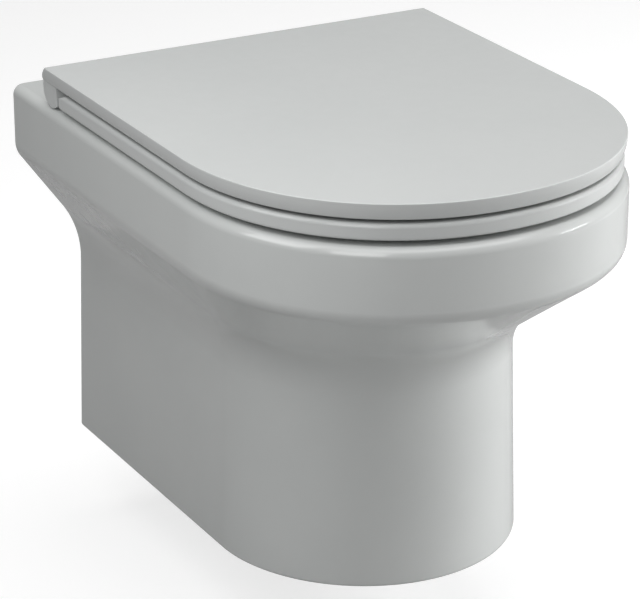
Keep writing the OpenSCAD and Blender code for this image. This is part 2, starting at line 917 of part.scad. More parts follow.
// Middle line of the rim's flat top, on which the buffers rest
land_w = (rim_w / 2 + mouth_w) / 2;
land_front = (rim_front + mouth_mid + mouth_front) / 2;
front_pad_angle = 50;
pad_spots = [
    [land_w, -mouth_mid + mouth_back * 0.62],
    [land_w * cos(front_pad_angle), -rim_straight - (land_front - rim_straight) * sin(front_pad_angle)]
];

function seat_ring_at(z, inset, back) =
    d_ring(lid_hw - seat_inset - inset, back, lid_straight, lid_front - seat_inset - inset, z);

module seat_outside() {
    foot_r = seat_edge_r * 0.7;
    loft(concat(
        [for (i = [2:-1:0])
            let (k = i / 2)
            seat_ring_at(
                seat_lo + foot_r - edge_up(foot_r, k),
                edge_in(foot_r, k),
                seat_back + k * foot_r
            )],
        [seat_ring_at(seat_lo + seat_t / 2, 0, seat_back)],
        [for (i = [0:EDGE_N])
            let (k = i / EDGE_N)
            seat_ring_at(
                seat_hi - seat_edge_r + edge_up(seat_edge_r, k),
                edge_in(seat_edge_r, k),
                seat_back + seat_bevel * k
            )]
    ));
}

module seat_opening() {
    rise = seat_t * 0.62;
    loft(concat(
        [for (z = [seat_lo - OVER, seat_hi - rise])
            oval_ring(seat_open_w, mouth_mid, seat_open_front, seat_open_back, z)],
        [for (i = [1:EDGE_N])
            let (
                out = seat_dish_w * (1 - cos(90 * i / EDGE_N)),
                z = seat_hi - rise + rise * sin(90 * i / EDGE_N)
            )
            oval_ring(seat_open_w + out, mouth_mid, seat_open_front + out, seat_open_back + out, z)],
        [oval_ring(
            seat_open_w + seat_dish_w, mouth_mid, seat_open_front + seat_dish_w,
            seat_open_back + seat_dish_w, seat_hi + OVER
        )]
    ));
}

module seat_ring() {
    half = block_in - move_gap;
    color(plastic)
    difference() {
        union() {
            difference() {
                seat_outside();
                seat_opening();
            }
            rod_x(knuckle_r, -half, half);
            box(
                [-half, half],
                [-seat_back - seat_bevel - OVER, -hinge_y],
                [axis_z - knuckle_r + 0.5, seat_hi]
            );
        }
        rod_x(pin_r + run_gap, half - pin_reach - 1, half + OVER);
        rod_x(damper_r + run_gap, -half - OVER, -half + push_gap + damper_l + 1);
        for (side = SIDES, spot = pad_spots)
            translate([side * spot[0], spot[1], seat_lo - OVER])
                cylinder(r = pad_peg_r + push_gap, h = pad_peg_h + OVER + push_gap);
    }
}

module seat_buffers() {
    color(rubber)
    for (side = SIDES, spot = pad_spots)
        translate([side * spot[0], spot[1], 0]) {
            translate([0, 0, deck_h + pad_gap])
                cylinder(r = pad_r, h = seat_gap - pad_gap);
            translate([0, 0, seat_lo - 0.1])
                cylinder(r = pad_peg_r, h = pad_peg_h + 0.1);
        }
}

// Lid

function lid_ring(z, inset, back) =
    d_ring(lid_hw - inset, back, lid_straight, lid_front - inset, z);

// How far the lid's edge has drawn in at height z
function lid_in(z) = lid_edge_r - sqrt(lid_edge_r * lid_edge_r - pow(lid_hi - z, 2));

module lid_outside() {
    loft(concat(
        [for (i = [0:EDGE_N])
            let (z = mix(lid_lo, lid_hi - lid_top_r, i / EDGE_N))
            lid_ring(z, lid_in(z), lid_back)],
        [for (i = [1:2])
            let (k = i / 2)
            lid_ring(
                lid_hi - lid_top_r + edge_up(lid_top_r, k),
                edge_in(lid_top_r, k),
                lid_back + edge_in(lid_top_r, k)
            )]
    ));
}

// The space under the lid's top, open at the back where the hinges stand
module lid_recess() {
    inset = lid_draw + lid_skirt_t;
    loft([
        lid_ring(lid_lo - OVER, inset, lid_back - OVER),
        lid_ring(lid_under - 3, inset, lid_back - OVER),
        lid_ring(lid_under, inset + 3, lid_back - OVER)
    ]);
}

lid_pad_h = 3;
lid_pad_top = seat_hi + lid_pad_h;
lid_pad_spots = [
    [pad_spots[0][0] - seat_inset, pad_spots[0][1]],
    [pad_spots[1][0] * 0.97, pad_spots[1][1] + seat_inset]
];

// A turned-down end seen from the side: its back sweeps round the hinge axis, and its front
// is upright and runs into the lid's foot
function end_profile() =
    let (
        top = lid_hi - lid_top_r,
        front = hinge_y + end_front,
        rise = top - axis_z,
        behind = hinge_y - lid_back,
        first = 180 - atan2(rise, behind) + acos(min(1, bar_r / norm([rise, behind]))),
        last = 360 - acos(end_front / bar_r)
    )
    concat(
        [[-lid_back - OVER, lid_under + OVER], [-lid_back - OVER, top], [-lid_back, top]],
        [for (i = [0:SWEEP_N])
            let (a = mix(first, last, i / SWEEP_N))
            [-hinge_y - bar_r * cos(a), axis_z + bar_r * sin(a)]],
        [for (i = [0:EDGE_N])
            let (k = i / EDGE_N)
            [-front - edge_in(end_fillet, k), lid_lo - end_fillet + edge_up(end_fillet, k)]],
        [[-front - end_fillet, lid_under + OVER]]
    );

// A turned-down end seen from the front: its outer face follows the lid's edge
function end_face(side, inner) =
    let (foot = axis_z - bar_r - OVER, outer = lid_hw - end_in)
    concat(
        [[side * inner, foot], [side * (outer - lid_draw), foot]],
        [for (i = [0:EDGE_N])
            let (z = mix(lid_lo, lid_hi - lid_top_r, i / EDGE_N))
            [side * (outer - lid_in(z)), z]],
        [[side * inner, lid_hi - lid_top_r]]
    );

module lid_end(side, inner) {
    intersection() {
        translate([side > 0 ? inner : -lid_hw, 0, 0])
            rotate([90, 0, 90])
                linear_extrude(height = lid_hw - inner)
                    polygon(end_profile());
        translate([0, bar_r - hinge_y + OVER, 0])
            rotate([90, 0, 0])
                linear_extrude(height = 2 * (bar_r + end_fillet + OVER))
                    polygon(end_face(side, inner - OVER));
    }
}

module lid_cover() {
    inner = block_out + move_gap;
    color(plastic)
    difference() {
        union() {
            difference() {
                lid_outside();
                lid_recess();
            }
            for (side = SIDES)
                lid_end(side, inner);
            for (side = SIDES, spot = lid_pad_spots)
                translate([side * spot[0], spot[1], lid_pad_top])
                    cylinder(r = pad_r + 1, h = lid_under - lid_pad_top + OVER);
        }
        rod_x(damper_r + run_gap, inner - OVER, inner + push_gap + damper_l + 1);
        rod_x(pin_r + run_gap, -inner - pin_reach - 1, -inner + OVER);
        for (side = SIDES, spot = lid_pad_spots)
            translate([side * spot[0], spot[1], lid_pad_top - OVER])
                cylinder(r = pad_peg_r + push_gap, h = pad_peg_h + OVER + push_gap);
    }
}

module lid_buffers() {
    color(rubber)
    for (side = SIDES, spot = lid_pad_spots)
        translate([side * spot[0], spot[1], 0]) {
            translate([0, 0, seat_hi + pad_gap])
                cylinder(r = pad_r, h = lid_pad_h - pad_gap);
            translate([0, 0, lid_pad_top - 0.1])
                cylinder(r = pad_peg_r, h = pad_peg_h + 0.1);
        }
}

pan_body();
wall_sleeves();
clamp_barrels();
clamp_screws();
inlet_seal();
hinge_plugs();
hinge_nuts();
hinge_bolts();
hinge_bases();
hinge_block_left();
hinge_block_right();
hinge_pins();
damper_spindles();
release_clips();
release_button_left();
release_button_right();
seat_ring();
seat_damper();
seat_buffers();
lid_cover();
lid_damper();
lid_buffers();
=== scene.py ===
"""A wall hung toilet: glazed pan, slim seat, wrap-over lid and its quick-release hinge."""

import logging
import math
from dataclasses import dataclass, field
from enum import Enum
from typing import Iterable, Sequence

import bmesh
import bpy
from mathutils import Matrix, Vector


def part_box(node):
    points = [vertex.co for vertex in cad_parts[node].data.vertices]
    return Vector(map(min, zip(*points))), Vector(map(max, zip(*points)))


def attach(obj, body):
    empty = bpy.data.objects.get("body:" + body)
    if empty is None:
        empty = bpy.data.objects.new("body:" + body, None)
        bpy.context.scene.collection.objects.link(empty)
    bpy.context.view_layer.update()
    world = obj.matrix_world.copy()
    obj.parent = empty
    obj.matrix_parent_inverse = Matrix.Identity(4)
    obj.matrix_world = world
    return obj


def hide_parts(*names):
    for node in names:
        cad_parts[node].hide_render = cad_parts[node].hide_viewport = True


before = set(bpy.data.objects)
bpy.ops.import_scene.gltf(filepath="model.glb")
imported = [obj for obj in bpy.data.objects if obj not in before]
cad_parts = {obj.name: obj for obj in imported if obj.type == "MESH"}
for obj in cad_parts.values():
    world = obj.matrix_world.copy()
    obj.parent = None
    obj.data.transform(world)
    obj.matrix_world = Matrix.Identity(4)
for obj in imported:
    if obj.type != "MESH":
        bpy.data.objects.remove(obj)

LOG = logging.getLogger("toilet")
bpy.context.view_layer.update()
MM = 0.001
SIDES = (-1, 1)

Form = bmesh.types.BMesh
Piece = bpy.types.Object
Socket = bpy.types.NodeSocket
Triple = tuple[float, float, float]
Ring = list[Vector]


class Slot(Enum):
    """The record's material slots."""

    CERAMIC = "ceramic"
    PLASTIC = "seat_plastic"
    GREY_PLASTIC = "grey_plastic"
    RUBBER = "rubber"
    STEEL = "steel"
    POLISHED = "polished_steel"
    BRASS = "brass"


class Join(Enum):
    """What a second solid does to the first."""

    ADD = "UNION"
    CUT = "DIFFERENCE"
    KEEP = "INTERSECT"


# Finishes


class Nodes:
    """A material's node tree, with short calls for the nodes used here."""

    def __init__(self, name: str) -> None:
        """Start a material with a Principled shader.

        Args:
            name: the material's name.
        """
        self.material = bpy.data.materials.new(name)
        self.material.use_nodes = True
        self.tree = self.material.node_tree
        self.tree.nodes.clear()
        self.shader = self.add("ShaderNodeBsdfPrincipled")
        out = self.add("ShaderNodeOutputMaterial")
        self.link(self.shader.outputs["BSDF"], out.inputs["Surface"])
        self.place = self.add("ShaderNodeTexCoord").outputs["Object"]

    def add(self, kind: str, **values: object) -> bpy.types.Node:
        """Add a node and set its properties.

        Args:
            kind: the node's type name.
            **values: properties, or the values of inputs by their names.

        Returns:
            The node.
        """
        node = self.tree.nodes.new(kind)
        for key, value in values.items():
            if hasattr(node, key):
                setattr(node, key, value)
            else:
                node.inputs[key.replace("_", " ")].default_value = value
        return node

    def link(self, source: Socket, target: Socket) -> None:
        """Join two sockets."""
        self.tree.links.new(source, target)

    def noise(self, scale: float, detail: float, stretch: Triple = (1, 1, 1)) -> Socket:
        """Noise on Object coordinates.

        Args:
            scale: noise cells in a metre.
            detail: octaves of finer noise.
            stretch: how much the pattern is squeezed along X, Y and Z.

        Returns:
            The noise value's socket.
        """
        mapping = self.add("ShaderNodeMapping")
        mapping.inputs["Scale"].default_value = stretch
        self.link(self.place, mapping.inputs["Vector"])
        node = self.add("ShaderNodeTexNoise", Scale=scale, Detail=detail, Roughness=0.55)
        self.link(mapping.outputs["Vector"], node.inputs["Vector"])
        return node.outputs["Fac"]

    def spread(self, value: Socket, low: float, high: float) -> Socket:
        """Map a noise value's middle range to low and high.

        Args:
            value: the noise.
            low: result where the noise is low.
            high: result where the noise is high.

        Returns:
            The mapped socket.
        """
        node = self.add("ShaderNodeMapRange")
        node.inputs["From Min"].default_value = 0.3
        node.inputs["From Max"].default_value = 0.7
        node.inputs["To Min"].default_value = low
        node.inputs["To Max"].default_value = high
        self.link(value, node.inputs["Value"])
        return node.outputs["Result"]

    def tint(self, value: Socket, dark: Sequence[float], light: Sequence[float]) -> None:
        """Vary the base colour between two colours.

        Args:
            value: the noise that picks the colour.
            dark: colour where the noise is low.
            light: colour where the noise is high.
        """
        blend = self.add("ShaderNodeMix", data_type="RGBA")
        for socket, colour in ((blend.inputs[6], dark), (blend.inputs[7], light)):
            socket.default_value = (*colour, 1)
        self.link(self.spread(value, 0, 1), blend.inputs["Factor"])
        self.link(blend.outputs[2], self.shader.inputs["Base Color"])

    def bump(self, height: Socket, depth: float) -> None:
        """Raise the shader's normal by a height, with its depth in metres."""
        bump = self.add("ShaderNodeBump", Strength=1.0, Distance=depth)
        self.link(height, bump.inputs["Height"])
        self.link(bump.outputs["Normal"], self.shader.inputs["Normal"])

    def roughness(self, value: Socket, low: float, high: float) -> None:
        """Vary the roughness with a noise between low and high."""
        self.link(self.spread(value, low, high), self.shader.inputs["Roughness"])

    def set(self, **values: float) -> None:
        """Set the shader's own sockets, by name with _ for a space."""
        for key, value in values.items():
            self.shader.inputs[key.replace("_", " ")].default_value = value


@dataclass(frozen=True)
class Finish:
    """A clouded colour, an uneven roughness and a fine relief.

    clouds and relief are noise cells in a metre and octaves, wear is cells alone, and lines squeezes
    the wear and the relief into lines.
    """

    name: str
    light: Triple
    dark: Triple
    rough: tuple[float, float]
    clouds: tuple[float, float]
    wear: float
    relief: tuple[float, float]
    depth: float
    lines: Triple = (1, 1, 1)
    sockets: tuple[tuple[str, float], ...] = ()

    def material(self) -> bpy.types.Material:
        """Build the material."""
        n = Nodes(self.name)
        n.tint(n.noise(*self.clouds), self.dark, self.light)
        n.roughness(n.noise(self.wear, 2, self.lines), *self.rough)
        n.set(**dict(self.sockets))
        n.bump(n.noise(*self.relief, self.lines), self.depth)
        return n.material


def coated(weight: float, rough: float) -> tuple[tuple[str, float], ...]:
    """The shader's values for a clear coat."""
    return (("Coat_Weight", weight), ("Coat_Roughness", rough), ("IOR", 1.5))


def grain(
    name: str, light: Triple, dark: Triple, rough: tuple[float, float], cells: float, depth: float
) -> Finish:
    """A plain moulded or elastic finish with a fine grain."""
    return Finish(name, light, dark, rough, (70, 3), 200, (cells, 2), depth)


def metal(name: str, light: Triple, dark: Triple, rough: tuple[float, float], lines: Triple) -> Finish:
    """A turned or polished metal, with fine lines that run round or along it."""
    return Finish(
        name, light, dark, rough, (120, 3), 500, (900, 1), 0.00001, lines, (("Metallic", 1.0),)
    )


GLAZE = Finish(
    "glazed_china", (0.665, 0.682, 0.672), (0.640, 0.658, 0.650), (0.10, 0.15),
    (9, 3), 60, (16, 1), 0.0001, sockets=coated(0.5, 0.04),
)
MOULDING = Finish(
    "polished_seat_plastic", (0.640, 0.655, 0.648), (0.622, 0.638, 0.632), (0.20, 0.26),
    (6, 2), 90, (14, 1), 0.00012, sockets=coated(0.25, 0.08),
)
ROUND_Z = (1, 1, 12)
ROUND_X = (8, 1, 1)


class Palette:
    """Every finish of the toilet, by the record's slot."""

    def __init__(self) -> None:
        """Build each material once."""
        finishes = {
            Slot.CERAMIC: GLAZE,
            Slot.PLASTIC: MOULDING,
            Slot.GREY_PLASTIC: grain(
                "grey_moulded_plastic", (0.20, 0.21, 0.22), (0.16, 0.165, 0.17), (0.42, 0.55), 1400, 0.00003
            ),
            Slot.RUBBER: grain(
                "soft_rubber", (0.33, 0.335, 0.335), (0.27, 0.275, 0.275), (0.62, 0.78), 900, 0.00004
            ),
            Slot.STEEL: metal("turned_steel", (0.60, 0.61, 0.62), (0.50, 0.51, 0.52), (0.28, 0.40), ROUND_Z),
            Slot.POLISHED: metal(
                "polished_steel", (0.78, 0.79, 0.80), (0.72, 0.73, 0.74), (0.08, 0.16), ROUND_X
            ),
            Slot.BRASS: metal(
                "machined_brass", (0.72, 0.54, 0.26), (0.60, 0.43, 0.19), (0.25, 0.38), ROUND_Z
            ),
        }
        self.by_slot = {slot: finish.material() for slot, finish in finishes.items()}

    def dress(self, piece: Piece, slot: Slot) -> None:
        """Put a finish on every material slot of a piece.

        Args:
            piece: a new piece or a node of the frame.
            slot: the record's slot.
        """
        material = self.by_slot[slot]
        if not piece.data.materials:
            piece.data.materials.append(material)
        for index in range(len(piece.data.materials)):
            piece.data.materials[index] = material


# Shapes


def mix(a: float, b: float, k: float) -> float:
    """The value a share k of the way from a to b."""
    return a + (b - a) * k


def ease(k: float) -> float:
    """A smooth step from 0 to 1."""
    return (1 - math.cos(math.pi * k)) / 2


def arc(steps: int, first: int = 0) -> list[tuple[float, float]]:
    """A quarter turn from step first on, as pairs of its sine and of 1 less its cosine."""
    turns = [math.pi / 2 * i / steps for i in range(first, steps + 1)]
    return [(math.sin(a), 1 - math.cos(a)) for a in turns]


class Skin:
    """A closed surface grown ring by ring: each ring is extruded from the last one."""

    def __init__(self, first: Sequence[Vector]) -> None:
        """Start with one ring.

        Args:
            first: the ring's points, in order.
        """
        self.bm = bmesh.new()
        self.ring = [self.bm.verts.new(p) for p in first]
        count = len(self.ring)
        self.edges = [self.bm.edges.new((self.ring[i], self.ring[(i + 1) % count])) for i in range(count)]
        bmesh.ops.contextual_create(self.bm, geom=self.edges)

    def grow(self, points: Sequence[Vector]) -> None:
        """Extrude the last ring and set the new one to its points."""
        made = bmesh.ops.extrude_edge_only(self.bm, edges=self.edges)["geom"]
        fresh = {g for g in made if isinstance(g, bmesh.types.BMVert)}
        ring = []
        for old, point in zip(self.ring, points):
            new = next(e.other_vert(old) for e in old.link_edges if e.other_vert(old) in fresh)
            new.co = point
            ring.append(new)
        self.ring = ring
        count = len(ring)
        self.edges = [self.bm.edges.get((ring[i], ring[(i + 1) % count])) for i in range(count)]

    def close(self) -> Form:
        """Cap the last ring and turn the faces outward."""
        bmesh.ops.contextual_create(self.bm, geom=self.edges)
        bmesh.ops.recalc_face_normals(self.bm, faces=self.bm.faces)
        return self.bm


def loft(rings: Iterable[Sequence[Vector]]) -> Form:
    """A closed solid through a stack of rings of equal length.

    Args:
        rings: the rings, from one end to the other.

    Returns:
        The solid.
    """
    rings = list(rings)
    skin = Skin(rings[0])
    for ring in rings[1:]:
        skin.grow(ring)
    return skin.close()


def turned(profile: Sequence[tuple[float, float]], place: Matrix, steps: int = 64) -> Form:
    """A solid of revolution about its own Z.

    Args:
        profile: closed outline as radius and height.
        place: where the solid goes.
        steps: flat steps round the axis.

    Returns:
        The solid.
    """
    bm = bmesh.new()
    verts = [bm.verts.new((r, 0, h)) for r, h in profile]
    edges = [bm.edges.new((verts[i], verts[(i + 1) % len(verts)])) for i in range(len(verts))]
    bmesh.ops.spin(
        bm, geom=verts + edges, cent=(0, 0, 0), axis=(0, 0, 1), angle=math.tau, steps=steps, use_merge=True
    )
    bmesh.ops.remove_doubles(bm, verts=bm.verts, dist=1e-7)
    bmesh.ops.dissolve_degenerate(bm, edges=bm.edges, dist=1e-8)
    bmesh.ops.transform(bm, matrix=place, verts=bm.verts)
    bmesh.ops.recalc_face_normals(bm, faces=bm.faces)
    return bm


def rod(radius: float, length: float, place: Matrix, edge: float = 0.0, steps: int = 64) -> Form:
    """A round bar along its own Z, from 0 to its length, with rounded ends.

    Args:
        radius: the bar's radius.
        length: its length.
        place: where it goes.
        edge: radius of its end edges.
        steps: flat steps round it.

    Returns:
        The solid.
    """
    bm = bmesh.new()
    bmesh.ops.create_cone(bm, cap_ends=True, segments=steps, radius1=radius, radius2=radius, depth=length)
    bmesh.ops.translate(bm, vec=(0, 0, length / 2), verts=bm.verts)
    if edge:
        rims = [e for e in bm.edges if abs(e.verts[0].co.z - e.verts[1].co.z) < 1e-9]
        bmesh.ops.bevel(bm, geom=rims, offset=edge, affect="EDGES", segments=4, profile=0.5, material=-1)
    bmesh.ops.transform(bm, matrix=place, verts=bm.verts)
    bmesh.ops.recalc_face_normals(bm, faces=bm.faces)
    return bm


def block(low: Sequence[float], high: Sequence[float], edge: float = 0.0) -> Form:
    """A box between two corners, with rounded edges.

    Args:
        low: its lowest corner.
        high: its highest corner.
        edge: radius of its edges.

    Returns:
        The solid.
    """
    bm = bmesh.new()
    bmesh.ops.create_cube(bm, size=1.0)
    size = Vector(high) - Vector(low)
    middle = (Vector(high) + Vector(low)) / 2
    bmesh.ops.scale(bm, vec=size, verts=bm.verts)
    bmesh.ops.translate(bm, vec=middle, verts=bm.verts)
    if edge:
        bmesh.ops.bevel(
            bm, geom=bm.edges[:], offset=edge, affect="EDGES", segments=3, profile=0.5, material=-1
        )
    return bm


def along_y(depth: float, x: float = 0.0, z: float = 0.0) -> Matrix:
    """Place a turned solid with its axis pointing away from the wall, from a depth onward."""
    return Matrix.Translation((x, -depth, z)) @ Matrix.Rotation(math.radians(90), 4, "X")


def along_x(x: float, y: float, z: float) -> Matrix:
    """Place a turned solid with its axis along +X, from x onward."""
    return Matrix.Translation((x, y, z)) @ Matrix.Rotation(math.radians(90), 4, "Y")


class Solid:
    """A solid that others are joined to and cut from, then made a piece."""

    def __init__(self, name: str, start: Form) -> None:
        """Begin with one solid.

        Args:
            name: the piece's name.
            start: its first solid.
        """
        self.piece = self.hold(start, name)

    @staticmethod
    def hold(bm: Form, name: str) -> Piece:
        """Put a bmesh in a new object."""
        mesh = bpy.data.meshes.new(name)
        bm.to_mesh(mesh)
        bm.free()
        piece = bpy.data.objects.new(name, mesh)
        bpy.context.scene.collection.objects.link(piece)
        return piece

    def apply(self, how: Join, tools: Iterable[Form]) -> "Solid":
        """Join or cut with other solids.

        Args:
            how: what the tools do.
            tools: the other solids.

        Returns:
            This solid.
        """
        for tool in tools:
            other = self.hold(tool, "tool")
            modifier = self.piece.modifiers.new("join", "BOOLEAN")
            modifier.operation = how.value
            modifier.solver = "EXACT"
            modifier.object = other
            deps = bpy.context.evaluated_depsgraph_get()
            mesh = bpy.data.meshes.new_from_object(self.piece.evaluated_get(deps))
            old = self.piece.data
            self.piece.modifiers.clear()
            self.piece.data = mesh
            mesh.name = self.piece.name
            bpy.data.meshes.remove(old)
            bpy.data.meshes.remove(other.data)
        return self

    def take(self) -> Form:
        """Take the solid back as a bmesh, and drop its object."""
        bm = bmesh.new()
        bm.from_mesh(self.piece.data)
        bpy.data.meshes.remove(self.piece.data)
        return bm

    def finish(self, sharp_deg: float = 30.0, merge: float = 2e-6) -> Piece:
        """Clean the mesh, mark its sharp edges and even its shading.

        Args:
            sharp_deg: edges that turn by more than this stay crisp.
            merge: points nearer than this become one.

        Returns:
            The finished piece.
        """
        bm = bmesh.new()
        bm.from_mesh(self.piece.data)
        bmesh.ops.remove_doubles(bm, verts=bm.verts, dist=merge)
        bmesh.ops.dissolve_degenerate(bm, edges=bm.edges, dist=merge)
        for face in bm.faces:
            face.smooth = True
        for edge in bm.edges:
            if len(edge.link_faces) == 2:
                edge.smooth = edge.calc_face_angle(0.0) < math.radians(sharp_deg)
        bm.to_mesh(self.piece.data)
        bm.free()
        even = self.piece.modifiers.new("even_shading", "WEIGHTED_NORMAL")
        even.keep_sharp = True
        even.weight = 80
        return self.piece


# Outlines shared by the pan, the seat and the lid


@dataclass(frozen=True)
class Rim:
    """The rim's driving sizes, which the seat and the lid follow."""

    half: float = 180 * MM
    front: float = 512 * MM
    straight: float = 326 * MM
    deck: float = 80 * MM
    full: float = 2.1


RIM = Rim()


def fuller(value: float, full: float) -> float:
    """A sine or cosine made fuller, for a front curve that is squarer than an ellipse."""
    return math.copysign(abs(value) ** (2 / full), value)


def d_ring(
    half: float,
    straight: float,
    front: float,
    z: float,
    back: float = 0.0,
    corner: float = 0.0,
    curve: int = 120,
    full: float = RIM.full,
) -> Ring:
    """A D outline: straight sides from the back and a curved front.

    Args:
        half: half its width.
        straight: depth at which the sides end.
        front: depth of its front.
        z: its height.
        back: depth of its back edge.
        corner: radius of its two back corners.
        curve: steps in the front curve.
        full: fullness of the front curve, where 2 is an ellipse.

    Returns:
        The ring, anticlockwise from above.
    """
    ring = []
    for i in range(curve + 1):
        t = math.pi * i / curve
        reach = (front - straight) * fuller(math.sin(t), full)
        ring.append(Vector((-half * fuller(math.cos(t), full), -straight - reach, z)))
    side_steps, corner_steps = 6, 4
    for i in range(1, side_steps):
        ring.append(Vector((half, -mix(straight, back + corner, i / side_steps), z)))
    for i in range(corner_steps + 1):
        t = math.pi / 2 * i / corner_steps
        ring.append(Vector((half - corner + corner * math.cos(t), -back - corner + corner * math.sin(t), z)))
    for i in range(corner_steps + 1):
        t = math.pi / 2 * (1 - i / corner_steps)
        ring.append(Vector((-half + corner - corner * math.cos(t), -back - corner + corner * math.sin(t), z)))
    for i in range(1, side_steps):
        ring.append(Vector((-half, -mix(back + corner, straight, i / side_steps), z)))
    return ring


def oval_ring(half: float, middle: float, ahead: float, behind: float, z: float) -> Ring:
    """An oval with its own length in front of and behind its middle.

    Args:
        half: half its width.
        middle: depth of its widest line.
        ahead: length in front of it.
        behind: length behind it.
        z: its height.

    Returns:
        The ring, anticlockwise from above.
    """
    ring, steps = [], 160
    for i in range(steps):
        t = math.tau * i / steps
        reach = ahead if math.sin(t) < 0 else behind
        ring.append(Vector((half * math.cos(t), -middle + reach * math.sin(t), z)))
    return ring


# Pan


@dataclass
class Pan:
    """The glazed casting: shell, rimless bowl, trapway and fixing bosses."""

    rim_half: float = RIM.half
    rim_front: float = RIM.front
    rim_straight: float = RIM.straight
    deck: float = RIM.deck
    rim_low: float = 23 * MM
    rim_edge: float = 8 * MM
    rim_corner: float = 22 * MM
    body_half: float = 123 * MM
    body_front: float = 404 * MM
    body_straight: float = 277 * MM
    base: float = -244 * MM
    base_flare: float = 4.5 * MM
    base_edge: float = 3 * MM
    flare_deg: float = 36.0
    flare_r: float = 85 * MM
    wall: float = 11 * MM
    deck_t: float = 12 * MM
    floor_t: float = 12 * MM
    back_t: float = 16 * MM
    mouth_half: float = 137 * MM
    mouth_middle: float = 315 * MM
    mouth_ahead: float = 155 * MM
    mouth_behind: float = 162 * MM
    mouth_edge: float = 8 * MM
    undercut: float = 4 * MM
    ledge: float = 15 * MM
    ledge_z: float = 42 * MM
    sump_half: float = 42 * MM
    sump_middle: float = 232 * MM
    sump_ahead: float = 50 * MM
    sump_behind: float = 42 * MM
    sump_z: float = -163 * MM
    sump_floor: float = -219 * MM
    bowl_wall: float = 10 * MM
    outlet_z: float = -100 * MM
    spigot_r: float = 51 * MM
    outlet_r: float = 43 * MM
    spigot_root: float = 45 * MM
    spigot_end: float = 3 * MM
    trap_wall: float = 8 * MM
    trap_r: float = 32 * MM
    dip_z: float = -181 * MM
    weir_z: float = -60 * MM
    weir_y: float = 105 * MM
    bend_r: float = 58 * MM
    stud_x: float = 90 * MM
    bore_r: float = 15 * MM
    bore_l: float = 95 * MM
    boss: float = 9 * MM
    hole_x: float = 77.5 * MM
    hole_y: float = 74.5 * MM
    hole_r: float = 8 * MM
    hole_l: float = 38 * MM
    key_r: float = 5.5 * MM
    inlet_z: float = 35 * MM
    inlet_r: float = 28 * MM
    inlet_l: float = 44 * MM
    duct_r: float = 20 * MM
    duct_end: float = 139 * MM
    slot_half: float = 38 * MM
    slot_z: float = 49 * MM
    slot_h: float = 13 * MM
    window_half: float = 103 * MM
    window_low: float = -226 * MM
    window_high: float = -34 * MM
    window_r: float = 26 * MM
    window_ease: float = 3 * MM
    flare_foot: float = -90 * MM
    flare_top: float = 30 * MM
    sump_turn: float = math.radians(84)
    nose_r: float = 4 * MM
    cove_r: float = 7 * MM
    wall_foot: float = 14 * MM
    wall_rise: float = 16 * MM
    inside: float = 2 * MM

    def flare(self, z: float) -> float:
        """How far the flare has spread at height z, from 0 at the body to the whole overhang."""
        over = self.rim_half - self.body_half
        slope = math.tan(math.radians(self.flare_deg))
        foot = self.rim_low - over / slope
        reach = self.flare_r * math.tan(math.radians(self.flare_deg / 2))
        lean = math.cos(math.radians(self.flare_deg))
        corner = self.rim_corner * math.tan(math.radians(self.flare_deg / 2))
        low, high = foot - reach, foot + reach * lean
        corner_low, corner_high = self.rim_low - corner * lean, self.rim_low + corner
        if z <= low:
            return 0.0
        if z < high:
            return self.flare_r - math.sqrt(self.flare_r**2 - (z - low) ** 2)
        if z < corner_low:
            return (z - foot) * slope
        if z < corner_high:
            return over - self.rim_corner + math.sqrt(self.rim_corner**2 - (corner_high - z) ** 2)
        return over

    def ring(
        self, z: float, inset: float = 0.0, back: float = 0.0, corner: float = 3 * MM, curve: int = 120
    ) -> Ring:
        """The pan's outline at height z, drawn in by inset."""
        over = self.rim_half - self.body_half
        k = self.flare(z) / over
        foot = self.rim_low - over / math.tan(math.radians(self.flare_deg))
        low = foot - self.flare_r * math.tan(math.radians(self.flare_deg / 2))
        out = self.base_flare * max(low - z, 0) / (low - self.base) - inset
        return d_ring(
            self.body_half + self.flare(z) + out,
            mix(self.body_straight, self.rim_straight, k),
            mix(self.body_front, self.rim_front, k) + out,
            z,
            back,
            corner,
            curve,
            mix(2, RIM.full, k**3),
        )

    def outside(self) -> Form:
        """The shell's outer form."""
        edge = self.base_edge
        rings = [self.ring(self.base + edge * (1 - rise), edge * fall) for rise, fall in reversed(arc(4))]
        low, high = self.base + edge, self.deck - self.rim_edge
        for i in range(1, 9):
            rings.append(self.ring(mix(low, self.flare_foot, i / 8)))
        for i in range(1, 65):
            rings.append(self.ring(mix(self.flare_foot, self.flare_top, i / 64)))
        for i in range(1, 4):
            rings.append(self.ring(mix(self.flare_top, high, i / 3)))
        rings += [self.ring(high + self.rim_edge * rise, self.rim_edge * fall) for rise, fall in arc(10, 1)]
        return loft(rings)

    def hollow(self) -> Form:
        """The space between the shell and the bowl."""
        heights = [self.base + self.floor_t, *(z * MM for z in (-90, -70, -50, -30, 0, 20, 30))]
        heights.append(self.deck - self.deck_t)
        return loft(self.ring(z, self.wall, self.back_t, 0.5 * MM, 60) for z in heights)

    def window(self) -> Form:
        """The opening in the back, with an eased edge on the wall side."""
        wide = self.window_ease

        def outline(y: float, grow: float) -> Ring:
            """The opening's rounded outline at one depth."""
            half, low, high = self.window_half + grow, self.window_low - grow, self.window_high + grow
            r = self.window_r
            centres = ((half - r, high - r), (r - half, high - r), (r - half, low + r), (half - r, low + r))
            ring = []
            for quarter, (cx, cz) in enumerate(centres):
                for i in range(13):
                    t = math.pi / 2 * (quarter + i / 12)
                    ring.append(Vector((cx + r * math.cos(t), y, cz + r * math.sin(t))))
            return ring

        rings = [outline(-self.back_t - 2 * MM, 0), outline(-wide, 0)]
        rings += [outline(-wide * (1 - math.sin(a)), wide * (1 - math.cos(a))) for a in (0.4, 0.8, 1.2)]
        rings += [outline(0.1 * MM, wide), outline(2 * MM, wide)]
        return loft(rings)

